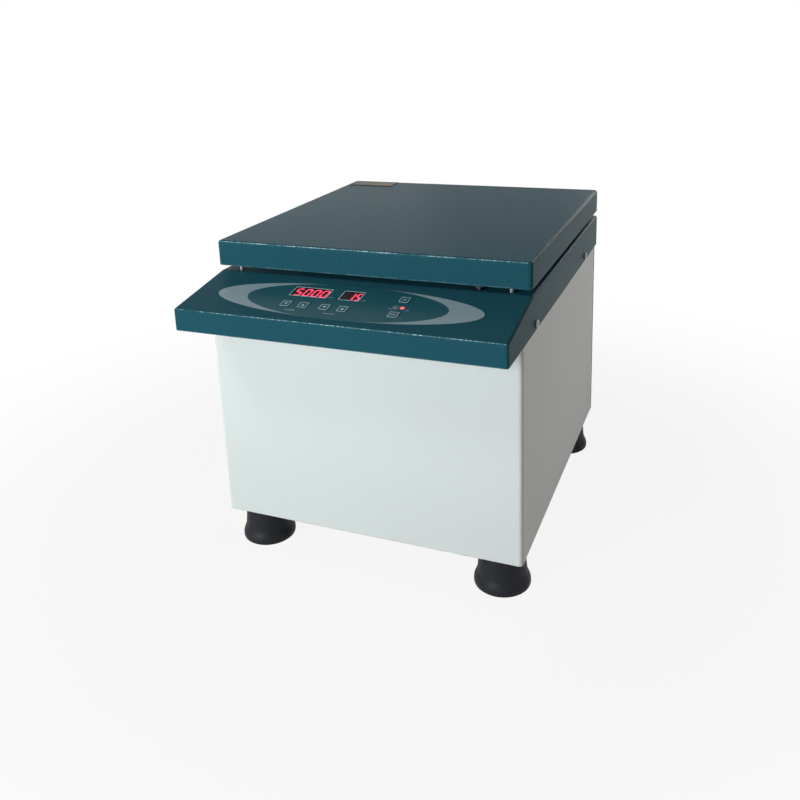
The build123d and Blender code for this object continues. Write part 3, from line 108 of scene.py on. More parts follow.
@dataclass(frozen=True)
class Slope:
    """The sloping panel's own axes: x across, up the slope from the deck's bend, and out of its face."""

    bend_y: float
    deck_z: float
    angle: float

    def matrix(self) -> Matrix:
        """The transform from the panel's axes to the frame's."""
        turn = Matrix.Rotation(self.angle, 4, "X")
        return Matrix.Translation((0, self.bend_y, self.deck_z)) @ turn

    def below(self, y: "Signal", z: "Signal") -> "Signal":
        """How deep under the slope's plane a shaded point lies, square to the slope."""
        return (y - self.bend_y) * math.sin(self.angle) - (z - self.deck_z) * math.cos(self.angle)

    def up(self, y: "Signal", z: "Signal") -> "Signal":
        """How far up the slope from the bend a shaded point lies, negative towards the front."""
        return (y - self.bend_y) * math.cos(self.angle) + (z - self.deck_z) * math.sin(self.angle)


BEND_SETBACK = 5.0 * MM
PANEL_FALL = 14.6 * MM
PANEL = Slope(
    bend_y=LID_LOW.y + BEND_SETBACK,
    deck_z=COWL_HIGH.z,
    angle=math.atan2(PANEL_FALL, LID_LOW.y + BEND_SETBACK - COWL_LOW.y),
)


# ------------------------------------------------------------------ shader expressions
class Signal:
    """A number, colour or vector that leaves a shader socket, worked on with Python's operators."""

    def __init__(self, net: "Network", socket: bpy.types.NodeSocket) -> None:
        """Wraps one output socket of a network."""
        self.net = net
        self.socket = socket

    def _math(self, operation: str, *terms: Value) -> "Signal":
        """One Math node on the terms."""
        return self.net.node("ShaderNodeMath", {"operation": operation}, dict(enumerate(terms)))

    def __add__(self, other: Value) -> "Signal":
        """Sum."""
        return self._math("ADD", self, other)

    __radd__ = __add__

    def __sub__(self, other: Value) -> "Signal":
        """Difference."""
        return self._math("SUBTRACT", self, other)

    def __rsub__(self, other: Value) -> "Signal":
        """Difference, the other way round."""
        return self._math("SUBTRACT", other, self)

    def __mul__(self, other: Value) -> "Signal":
        """Product."""
        return self._math("MULTIPLY", self, other)

    __rmul__ = __mul__

    def __abs__(self) -> "Signal":
        """Size without its sign."""
        return self._math("ABSOLUTE", self)

    def root(self) -> "Signal":
        """Square root."""
        return self._math("SQRT", self)

    def to_and_fro(self, reach: float) -> "Signal":
        """A wave of straight slopes between 0 and reach."""
        return self._math("PINGPONG", self, reach)

    def least(self, other: Value) -> "Signal":
        """The smaller of the two."""
        return self._math("MINIMUM", self, other)

    def above(self, edge: float) -> "Signal":
        """1 where the signal is over the edge, and 0 elsewhere."""
        return self._math("GREATER_THAN", self, edge)

    def smooth(self, low: float, high: float) -> "Signal":
        """A smooth rise from 0 at low to 1 at high."""
        sockets = {"Value": self, "From Min": low, "From Max": high}
        return self.net.node("ShaderNodeMapRange", {"interpolation_type": "SMOOTHSTEP"}, sockets)


class Network:
    """The node tree of one material or of the world."""

    def __init__(self, owner: bpy.types.Material | bpy.types.World) -> None:
        """Starts an empty tree.

        Args:
            owner: The material or world that the tree is in.
        """
        owner.use_nodes = True
        self.owner = owner
        self.tree = owner.node_tree
        self.tree.nodes.clear()

    def plug(self, socket: bpy.types.NodeSocket, value: Value) -> None:
        """Links a signal to a socket, or sets the socket to a constant.

        Args:
            socket: The input.
            value: The signal, or a number, colour or vector; a colour has no alpha.
        """
        if isinstance(value, Signal):
            self.tree.links.new(value.socket, socket)
        elif isinstance(value, (int, float)):
            socket.default_value = value
        else:
            width = len(socket.default_value)
            socket.default_value = (tuple(value) + (1.0,))[:width]

    def add(
        self,
        kind: str,
        settings: dict[str, object] | None = None,
        sockets: dict[int | str, Value] | None = None,
    ) -> bpy.types.ShaderNode:
        """Adds one node.

        Args:
            kind: The node's type.
            settings: Its properties, set before its sockets.
            sockets: The value or signal of each named or numbered input.

        Returns:
            The node.
        """
        made = self.tree.nodes.new(kind)
        for key, value in (settings or {}).items():
            setattr(made, key, value)
        for key, value in (sockets or {}).items():
            self.plug(made.inputs[key], value)
        return made

    def node(
        self,
        kind: str,
        settings: dict[str, object] | None = None,
        sockets: dict[int | str, Value] | None = None,
        output: int | str = 0,
    ) -> Signal:
        """Adds one node, and gives the signal of one of its outputs."""
        return Signal(self, self.add(kind, settings, sockets).outputs[output])

    def place(self) -> Signal:
        """The shaded point in its object's own axes, in metres."""
        return self.node("ShaderNodeTexCoord", output="Object")

    def axes(self, vector: Signal) -> tuple[Signal, Signal, Signal]:
        """The three parts of a vector."""
        parts = self.add("ShaderNodeSeparateXYZ", None, {0: vector}).outputs
        return tuple(Signal(self, parts[axis]) for axis in "XYZ")

    def seen(self) -> Signal:
        """Whether a ray shows what it meets, and doesn't only carry light.

        Returns:
            1 on rays from the camera, a gloss or a clear pane, and 0 on others.
        """
        rays = self.add("ShaderNodeLightPath").outputs
        kinds = ("Is Camera Ray", "Is Glossy Ray", "Is Transmission Ray")
        return sum(Signal(self, rays[kind]) for kind in kinds).least(1.0)

    def stretch(self, vector: Signal, by: Sequence[float]) -> Signal:
        """A vector scaled by a factor along each axis."""
        return self.node("ShaderNodeVectorMath", {"operation": "MULTIPLY"}, {0: vector, 1: by})

    def noise(self, vector: Signal, size: float, detail: float = 2.0) -> Signal:
        """Noise from 0 to 1, with blotches of a size in metres and detail finer layers."""
        sockets = {"Vector": vector, "Scale": 1 / size, "Detail": detail}
        return self.node("ShaderNodeTexNoise", None, sockets, "Fac")

    def cells(self, vector: Signal, size: float, feature: str = "SMOOTH_F1") -> Signal:
        """The distance to the nearest of scattered points about a size apart."""
        sockets = {"Vector": vector, "Scale": 1 / size}
        return self.node("ShaderNodeTexVoronoi", {"feature": feature}, sockets, "Distance")

    def mix(self, factor: Value, first: Value, second: Value) -> Signal:
        """A colour between two colours."""
        sockets = {0: factor, 6: first, 7: second}
        return self.node("ShaderNodeMix", {"data_type": "RGBA"}, sockets, 2)

    def shades(self, factor: Value, colour: Colour, low: float, high: float) -> Signal:
        """A colour that runs from low times to high times itself."""
        return self.mix(factor, tint(colour, low), tint(colour, high))

    def bump(self, height: Signal, depth: float) -> Signal:
        """The normal of a surface with a relief from 0 to 1, where 1 is depth metres."""
        sockets = {"Height": height, "Distance": depth, "Strength": 1.0}
        return self.node("ShaderNodeBump", None, sockets)

    def surface(self, **sockets: Value) -> bpy.types.Material:
        """Ends the tree in a Principled shader, its inputs named with underscores for spaces."""
        named = {key.replace("_", " "): value for key, value in sockets.items()}
        return self.finish(self.node("ShaderNodeBsdfPrincipled", None, named))

    def finish(
        self, shader: Signal, output: str = "ShaderNodeOutputMaterial"
    ) -> bpy.types.Material | bpy.types.World:
        """Ends the tree in a shader, and gives its owner."""
        self.add(output, None, {"Surface": shader})
        return self.owner


def tint(colour: Colour, by: float) -> Colour:
    """A colour made lighter or darker by a factor."""
    return tuple(min(1.0, part * by) for part in colour)


def distance(first: Signal, second: Signal) -> Signal:
    """The length of a line that reaches that far along two axes."""
    return (first * first + second * second).root()


# ------------------------------------------------------------------ finishes
@dataclass(frozen=True)
class Finish:
    """One finish. Its material is made when it is first asked for."""

    name: str

    def material(self) -> bpy.types.Material:
        """The finish's material."""
        made = bpy.data.materials.get(self.name)
        return made or self.build(Network(bpy.data.materials.new(self.name)))

    def build(self, net: Network) -> bpy.types.Material:
        """Makes the material in a new network.

        Args:
            net: The material's network.

        Returns:
            The finished material.
        """
        raise NotImplementedError


@dataclass(frozen=True)
class PowderCoat(Finish):
    """Baked powder paint with a fine wrinkled grain, with metal flecks along its edges that are partly
    wear and partly a painted highlight.
    """

    colour: Colour
    low: Corner
    high: Corner
    edge_radius: float
    slope: Slope | None = None
    grain: float = 1.5 * MM
    depth: float = 0.13 * MM
    roughness: float = 0.33
    # Colour of the edge flecks: worn metal that also serves as a painted highlight
    bare_and_glint: Colour = (0.5, 0.66, 0.7)
    bend: Point2 = (0.4, 0.5)
    drift_size: float = 90 * MM
    glint_dash_size: float = 14 * MM
    fleck_size: float = 1.4 * MM

    def wear_and_glint(self, net: Network, place: Signal) -> Signal:
        """Where the edges show metal flecks, partly wear and partly a painted highlight: flecks along the
        bends of the sheet, most on its front's top.

        Args:
            net: The material's network.
            place: The shaded point.

        Returns:
            1 where the flecks of metal and painted highlight show, and 0 on whole paint.
        """
        x, y, z = net.axes(place)
        side, front, top = self.high[0] - abs(x), y - self.low[1], self.high[2] - z
        if self.slope:
            top = top.least(self.slope.below(y, z))
        wear_and_glint_dashes = net.noise(place, self.glint_dash_size).smooth(0.3, 0.62)
        fleck = net.noise(place, self.fleck_size).smooth(0.4, 0.62)
        inner, outer = (share * self.edge_radius for share in self.bend)
        foot = z - self.low[2]
        # Painted highlight as well as wear: most on the front's top edge, little on the side edges, which
        # lie in shade
        bends = ((front, top, 1.0), (side, front, 0.25), (side, top, 0.12), (front, foot, 0.14))
        bare_and_glint = sum((1 - distance(*bend).smooth(inner, outer)) * share for *bend, share in bends)
        return bare_and_glint.least(1.0) * (wear_and_glint_dashes * 0.75 + 0.1) * (fleck * 0.85 + 0.15)

    def build(self, net: Network) -> bpy.types.Material:
        """Wrinkles with painted shade in their hollows and a painted highlight on their crests, with a
        faint drift of colour.

        Args:
            net: The material's network.

        Returns:
            The finished material.
        """
        place = net.place()
        fine = net.noise(place, self.grain / 2, 3.0)
        broad = net.noise(place, self.drift_size, 1.0)
        relief = net.cells(place, self.grain) * 0.6 + fine * 0.6
        # Painted shade and highlight on the grain: darker in the wrinkles' hollows, paler on their crests
        crest_shading = relief.smooth(0.35, 0.85)
        colour = net.shades(crest_shading, self.colour, 0.82, 1.12)
        drift = net.shades(broad, self.colour, 0.9, 1.08)
        # Edge flecks, partly wear and partly a painted highlight
        wear_and_glint = self.wear_and_glint(net, place)
        return net.surface(
            Base_Color=net.mix(wear_and_glint, net.mix(0.45, colour, drift), self.bare_and_glint),
            Metallic=wear_and_glint,
            Roughness=fine * 0.14 + (self.roughness - 0.07),
            Specular_IOR_Level=0.014,
            Normal=net.bump(relief, self.depth),
        )


@dataclass(frozen=True)
class CabinetPaint(Finish):
    """Pale sprayed paint with orange peel, fine specks and some grime towards the floor."""

    colour: Colour
    roughness: float
    dirt: Colour = (0.25, 0.24, 0.22)
    grime_height: float = 160 * MM

    def build(self, net: Network) -> bpy.types.Material:
        """Orange peel with specks of dirt.

        Args:
            net: The material's network.

        Returns:
            The finished material.
        """
        place = net.place()
        _, _, z = net.axes(place)
        peel = net.noise(place, 2.2 * MM, 2.0)
        broad = net.noise(place, 120 * MM, 2.0)
        low = 1 - z.smooth(SHELL_LOW.z, SHELL_LOW.z + self.grime_height)
        specks = 1 - net.cells(place, 26 * MM, "F1").smooth(0.012, 0.03)
        clean = net.shades(broad, self.colour, 0.965, 1.03)
        aged = net.mix(low * broad * 0.5, clean, tint(self.colour, 0.8))
        return net.surface(
            Base_Color=net.mix(specks * 0.35, aged, self.dirt),
            Roughness=broad * 0.12 + (self.roughness - 0.06),
            Specular_IOR_Level=0.25,
            Normal=net.bump(peel, 0.02 * MM),
        )


@dataclass(frozen=True)
class PanelFilm(Finish):
    """The printed film on the panel: two pale crescents that fade towards the middle."""

    colour: Colour
    ink: Colour
    centre_x: float = -3.0 * MM
    centre_up: float = -45.4 * MM
    outer: Point2 = (136.0 * MM, 33.0 * MM)
    inner: Point2 = (102.0 * MM, 33.0 * MM)
    fade: Point2 = (10.0 * MM, 78.0 * MM)

    def ellipse(self, x: Signal, up: Signal, axes: Point2) -> Signal:
        """1 on the ellipse with those half axes, and more outside it."""
        across, along = (x - self.centre_x) * (1 / axes[0]), (up - self.centre_up) * (1 / axes[1])
        return across * across + along * along

    def build(self, net: Network) -> bpy.types.Material:
        """Ink between the two ellipses.

        Args:
            net: The material's network.

        Returns:
            The finished material.
        """
        place = net.place()
        x, y, z = net.axes(place)
        up = PANEL.up(y, z)
        beyond = self.ellipse(x, up, self.inner).smooth(1.0, 1.012)
        within = 1 - self.ellipse(x, up, self.outer).smooth(0.985, 0.995)
        out = abs(x - self.centre_x).smooth(*self.fade)
        screen = net.noise(place, 0.5 * MM, 1.0)
        ink = net.shades(screen, self.ink, 0.95, 1.05)
        broad = net.noise(place, 60 * MM, 1.0)
        film = net.shades(broad, self.colour, 0.92, 1.06)
        return net.surface(
            Base_Color=net.mix(beyond * within * out, film, ink),
            Roughness=screen * 0.08 + 0.24,
            Specular_IOR_Level=0.08,
            Normal=net.bump(screen, 0.006 * MM),
        )


@dataclass(frozen=True)
class Ink(Finish):
    """Screen-printed ink."""

    colour: Colour

    def build(self, net: Network) -> bpy.types.Material:
        """Slightly uneven ink.

        Args:
            net: The material's network.

        Returns:
            The finished material.
        """
        screen = net.noise(net.place(), 0.4 * MM, 2.0)
        return net.surface(
            Base_Color=net.shades(screen, self.colour, 0.88, 1.08),
            Roughness=screen * 0.1 + 0.4,
        )


@dataclass(frozen=True)
class Rubber(Finish):
    """Moulded rubber with a dusty bloom."""

    colour: Colour
    roughness: float = 0.6

    def build(self, net: Network) -> bpy.types.Material:
        """Fine pitting under a thin bloom.

        Args:
            net: The material's network.

        Returns:
            The finished material.
        """
        place = net.place()
        pits = net.noise(place, 0.7 * MM, 3.0)
        bloom = net.noise(place, 14 * MM, 4.0).smooth(0.4, 0.8)
        return net.surface(
            Base_Color=net.mix(bloom * 0.5, self.colour, tint(self.colour, 1.9)),
            Roughness=bloom * 0.18 + (self.roughness - 0.06),
            Specular_IOR_Level=0.2,
            Normal=net.bump(pits, 0.04 * MM),
        )


@dataclass(frozen=True)
class Plastic(Finish):
    """Moulded plastic with a fine spark texture."""

    colour: Colour
    roughness: float = 0.4
    gloss: float = 0.5

    def build(self, net: Network) -> bpy.types.Material:
        """An even, finely textured colour.

        Args:
            net: The material's network.

        Returns:
            The finished material.
        """
        place = net.place()
        spark = net.noise(place, 0.5 * MM, 2.0)
        broad = net.noise(place, 22 * MM, 2.0)
        return net.surface(
            Base_Color=net.shades(broad, self.colour, 0.9, 1.1),
            Roughness=spark * 0.12 + (self.roughness - 0.06),
            Specular_IOR_Level=self.gloss,
            Normal=net.bump(spark, 0.03 * MM),
        )


@dataclass(frozen=True)
class Metal(Finish):
    """Bare or plated metal with fine scratches one way."""

    colour: Colour
    roughness: float
    grain: Grain = Grain.NONE

    def lines(self, net: Network, place: Signal) -> Signal:
        """Noise drawn out along the grain.

        Args:
            net: The material's network.
            place: The shaded point.

        Returns:
            The noise, from 0 to 1.
        """
        if self.grain is Grain.TURNED:
            x, y, z = net.axes(place)
            radius = distance(x, y - CHAMBER_Y)
            rings = net.node("ShaderNodeCombineXYZ", None, {0: radius, 1: z, 2: 0.0})
            return net.noise(rings, 0.5 * MM, 3.0)
        along = {
            Grain.NONE: (1.0, 1.0, 1.0),
            Grain.ACROSS: (0.03, 1.0, 1.0),
            Grain.UPRIGHT: (1.0, 1.0, 0.03),
        }[self.grain]
        return net.noise(net.stretch(place, along), 0.6 * MM, 3.0)

    def build(self, net: Network) -> bpy.types.Material:
        """Scratches that change the gloss, over slow clouds of tarnish.

        Args:
            net: The material's network.

        Returns:
            The finished material.
        """
        place = net.place()
        lines = self.lines(net, place)
        cloud = net.noise(place, 18 * MM, 3.0)
        return net.surface(
            Base_Color=net.shades(cloud, self.colour, 0.86, 1.06),
            Metallic=1.0,
            Roughness=lines * 0.22 + cloud * 0.08 + (self.roughness - 0.15),
            Normal=net.bump(lines, 0.008 * MM),
        )


@dataclass(frozen=True)
class LinerSheet(Metal):
    """Brushed sheet whose post for the lid switch has a black cap, partly its rubber tip and partly
    painted shade for the gap under the lid.
    """

    sheet_low: float = 0.0
    # Black of the post's cap: partly its rubber, partly painted shade in the gap under the lid
    cap_and_shade: Colour = (0.02, 0.02, 0.022)

    def build(self, net: Network) -> bpy.types.Material:
        """Brushed metal down to the sheet's underside, and black below it, which is partly a rubber cap
        and partly painted shade.

        Args:
            net: The material's network.

        Returns:
            The finished material.
        """
        place = net.place()
        _, _, z = net.axes(place)
        sheet = z.above(self.sheet_low)
        lines = self.lines(net, place)
        return net.surface(
            Base_Color=net.mix(sheet, self.cap_and_shade, self.colour),
            Metallic=sheet,
            Roughness=lines * 0.22 + (self.roughness - 0.1),
            Normal=net.bump(lines, 0.008 * MM),
        )


@dataclass(frozen=True)
class Glow(Finish):
    """A lit lens or light bar."""

    colour: Colour
    light: Colour
    strength: float

    def build(self, net: Network) -> bpy.types.Material:
        """Brighter in the middle of its specks.

        Args:
            net: The material's network.

        Returns:
            The finished material.
        """
        speck = net.noise(net.place(), 0.9 * MM, 1.0)
        return net.surface(
            Base_Color=self.colour,
            Roughness=0.3,
            Emission_Color=net.mix(speck, tint(self.light, 0.85), self.light),
            Emission_Strength=self.strength,
        )


@dataclass(frozen=True)
class SmokedPane(Finish):
    """Thin red-brown plastic that shows the lit bars under it."""

    colour: Colour
    cover: float

    def build(self, net: Network) -> bpy.types.Material:
        """Mostly clear, with a gloss.

        Args:
            net: The material's network.

        Returns:
            The finished material.
        """
        haze = net.noise(net.place(), 6 * MM, 2.0)
        return net.surface(
            Base_Color=self.colour,
            Roughness=haze * 0.05 + 0.1,
            Alpha=haze * 0.04 + self.cover,
        )


@dataclass(frozen=True)
class CircuitBoard(Finish):
    """Solder mask over copper tracks."""

    colour: Colour
    track: Colour
    pitch: float = 0.9 * MM
    gap: float = 0.55 * MM

    def build(self, net: Network) -> bpy.types.Material:
        """Tracks along two directions.

        Args:
            net: The material's network.

        Returns:
            The finished material.
        """
        place = net.place()
        x, y, _ = net.axes(place)
        patch = net.noise(place, 12 * MM, 0.0).above(0.5)
        lines = x.to_and_fro(self.pitch) * patch + y.to_and_fro(self.pitch) * (1 - patch)
        copper = lines.above(self.gap)
        return net.surface(
            Base_Color=net.mix(copper, self.colour, self.track),
            Roughness=0.35,
            Normal=net.bump(copper, 0.03 * MM),
        )


@dataclass(frozen=True)
class Laminations(Finish):
    """A stack of thin steel sheets."""

    colour: Colour
    pitch: float = 0.7 * MM

    def build(self, net: Network) -> bpy.types.Material:
        """Dark joints between the sheets.

        Args:
            net: The material's network.

        Returns:
            The finished material.
        """
        place = net.place()
        _, _, z = net.axes(place)
        sheet = z.to_and_fro(self.pitch / 2).smooth(0.04 * MM, 0.14 * MM)
        return net.surface(
            Base_Color=net.mix(sheet, tint(self.colour, 0.35), self.colour),
            Metallic=0.8,
            Roughness=net.noise(place, 3 * MM) * 0.2 + 0.4,
            Normal=net.bump(sheet, 0.1 * MM),
        )


@dataclass(frozen=True)
class PlatePrint(Finish):
    """The lid's small plate: a dark border round a grey field and a field of two stripes."""

    border: Colour
    left: Colour
    right: Colour
    stripe: Colour
    split_x: float
    low: Point2
    high: Point2
    rim: Point2 = (2.4 * MM, 4.4 * MM)
    blur: float = 2.0 * MM

    def build(self, net: Network) -> bpy.types.Material:
        """Two brushed fields inside a printed border.

        Args:
            net: The material's network.

        Returns:
            The finished material.
        """
        place = net.place()
        x, y, _ = net.axes(place)
        middle_x, middle_y = ((low + high) / 2 for low, high in zip(self.low, self.high))
        half_x, half_y = ((high - low) / 2 - rim for low, high, rim in zip(self.low, self.high, self.rim))
        inside = (half_x - abs(x - middle_x)).above(0.0) * (half_y - abs(y - middle_y)).above(0.0)
        lines = net.noise(net.stretch(place, (0.04, 1.0, 1.0)), 0.5 * MM, 3.0)
        cloud = net.noise(place, 12 * MM, 2.0)
        left = net.shades(cloud, self.left, 0.8, 1.15)
        rear = y.smooth(middle_y - self.blur, middle_y + self.blur)
        striped = net.mix(rear, self.right, self.stripe)
        right = net.mix(cloud * 0.4, striped, tint(self.right, 0.75))
        field = net.mix(x.smooth(self.split_x - self.blur, self.split_x + self.blur), left, right)
        return net.surface(
            Base_Color=net.mix(inside, self.border, field),
            Metallic=inside * 0.3,
            Roughness=lines * 0.2 + 0.4,
            Specular_IOR_Level=0.12,
            Normal=net.bump(lines, 0.01 * MM),
        )


# ------------------------------------------------------------------ the object's finishes
TEAL: Colour = (0.016, 0.087, 0.12)
TEAL_COWL = PowderCoat(
    "teal_cowl_coat",
    TEAL,
    tuple(COWL_LOW),
    tuple(COWL_HIGH),
    edge_radius=2.5 * MM,
    slope=PANEL,
    bend=(0.3, 0.41),
)
TEAL_LID = PowderCoat("teal_lid_coat", TEAL, tuple(LID_LOW), tuple(LID_HIGH), edge_radius=3.0 * MM)
PALE_GREY = CabinetPaint("pale_grey_paint", (0.68, 0.745, 0.755), 0.38)
FILM = PanelFilm("panel_film", (0.015, 0.093, 0.122), (0.27, 0.37, 0.41))
PALE_INK = Ink("pale_ink", (0.44, 0.57, 0.61))
# Dark red modules behind the panes: a painted glow from the lit bars, spread between the figures
WINDOW_GLOW_RED = Plastic("window_backing_glow", (0.05, 0.012, 0.018), 0.5)
KEY_FILM = Plastic("key_film", (0.01, 0.082, 0.113), 0.34, 0.2)
BLACK_RUBBER = Rubber("black_rubber", (0.007, 0.0085, 0.0115))
BLACK_PLASTIC = Plastic("black_moulding", (0.022, 0.022, 0.024), 0.42)
WHITE_PLASTIC = Plastic("white_moulding", (0.74, 0.74, 0.71), 0.38)
BLACK_PAINT = Plastic("black_enamel", (0.025, 0.026, 0.03), 0.3)
CHROME = Metal("bright_plating", (0.66, 0.66, 0.67), 0.24)
DARK_PLATING = Metal("dark_plating", (0.2, 0.2, 0.19), 0.26)
ZINC = Metal("zinc_plating", (0.42, 0.43, 0.44), 0.44)
STAINLESS = Metal("brushed_stainless", (0.62, 0.62, 0.61), 0.36, Grain.TURNED)
LINER_UNDERSIDE = COWL_HIGH.z + 7.0 * MM
LINER = LinerSheet("brushed_liner", (0.33, 0.33, 0.325), 0.48, Grain.ACROSS, LINER_UNDERSIDE)
TURNED_ALUMINIUM = Metal("turned_aluminium", (0.72, 0.73, 0.74), 0.34, Grain.TURNED)
STEEL = Metal("machined_steel", (0.56, 0.56, 0.57), 0.3, Grain.TURNED)
BRASS = Metal("tinned_brass", (0.66, 0.6, 0.46), 0.28, Grain.UPRIGHT)
GREEN_BOARD = CircuitBoard("green_board", (0.012, 0.09, 0.04), (0.03, 0.17, 0.07))
CORE = Laminations("laminated_core", (0.22, 0.22, 0.23))
RED_LIGHT = Glow("red_light", (0.3, 0.02, 0.03), (1.0, 0.07, 0.14), 2.6)
RED_LAMP = Glow("red_lamp", (0.4, 0.02, 0.02), (1.0, 0.12, 0.1), 1.6)
DARK_SEGMENT = Plastic("unlit_segment", (0.12, 0.075, 0.085), 0.35)
CLEAR_LAMP = Plastic("unlit_lamp", (0.05, 0.06, 0.09), 0.15)
PANE = SmokedPane("smoked_pane", (0.03, 0.006, 0.01), 0.38)

CARRIED_OVER: tuple[tuple[Finish, tuple[str, ...]], ...] = (
    (TEAL_COWL, ("top_cowl",)),
    (TEAL_LID, ("lid_pan",)),
    (PALE_GREY, ("cabinet_shell", "rear_panel")),
    (FILM, ("control_overlay",)),
    (KEY_FILM, tuple(body.value for body in Body if body.value.endswith("_key"))),
    (BLACK_RUBBER, ("chamber_gasket", "shock_mounts", "spindle_seal", "motor_lead", "display_lead")),
    (BLACK_PLASTIC, (
        "key_switches",
        "speed_display",
        "time_display",
        "lid_switch",
        "lid_switch_plunger",
        "inlet_socket",
        "fuse_holder",
        "switch_frame",
        "power_rocker",
    )),
    (WHITE_PLASTIC, ("tube_cups",)),
    (BLACK_PAINT, ("motor_case",)),
    (CHROME, ("rear_panel_screws", "bowl_screws", "lid_hinge_screws", "lid_catch_pins")),
    (DARK_PLATING, ("cowl_screws",)),
    (ZINC, (
        "base_plate",
        "foot_bolts",
        "motor_plate",
        "motor_bolts",
        "board_standoffs",
        "cowl_hinge_leaves",
        "lid_hinge_leaves",
        "catch_sockets",
    )),
    (STAINLESS, ("chamber_bowl",)),
    (LINER, ("lid_liner",)),
    (TURNED_ALUMINIUM, ("rotor_head", "rotor_nut", "motor_top_cap")),
    (STEEL, ("spindle", "spindle_bearings", "hinge_pins")),
    (GREEN_BOARD, ("display_board", "power_board")),
    (CORE, ("transformer", "motor_stator", "motor_armature")),
)


# ------------------------------------------------------------------ mesh making
SHARP_ANGLE = math.radians(35)
CORNER_STEPS = 6
CIRCLE_STEPS = 40


def rounded_rectangle(width: float, height: float, radius: float) -> list[Point2]:
    """The outline of a rectangle with round corners, about its middle.

    Args:
        width: Its size along x.
        height: Its size along y.
        radius: Its corners' radius.

    Returns:
        Its points, anticlockwise.
    """
    points = []
    for quarter, (sx, sy) in enumerate(((1, 1), (-1, 1), (-1, -1), (1, -1))):
        cx, cy = sx * (width / 2 - radius), sy * (height / 2 - radius)
        for step in range(CORNER_STEPS + 1):
            angle = math.pi / 2 * (quarter + step / CORNER_STEPS)
            points.append((cx + radius * math.cos(angle), cy + radius * math.sin(angle)))
    return points


def circle(radius: float) -> list[Point2]:
    """The outline of a circle about the origin."""
    angles = [2 * math.pi * i / CIRCLE_STEPS for i in range(CIRCLE_STEPS)]
    return [(radius * math.cos(angle), radius * math.sin(angle)) for angle in angles]


def moved(outline: Sequence[Point2], x: float, y: float) -> list[Point2]:
    """An outline shifted by x and y."""
    return [(px + x, py + y) for px, py in outline]


def leaned(outline: Sequence[Point2], lean: float) -> list[Point2]:
    """An outline sheared to the right by lean per unit of height."""
    return [(px + lean * py, py) for px, py in outline]


def add_object(name: str, data: bpy.types.ID) -> bpy.types.Object:
    """Adds an object that shows a mesh, lamp or camera.

    Args:
        name: Its name.
        data: What it shows.

    Returns:
        The object.
    """
    made = bpy.data.objects.new(name, data)
    bpy.context.scene.collection.objects.link(made)
    return made


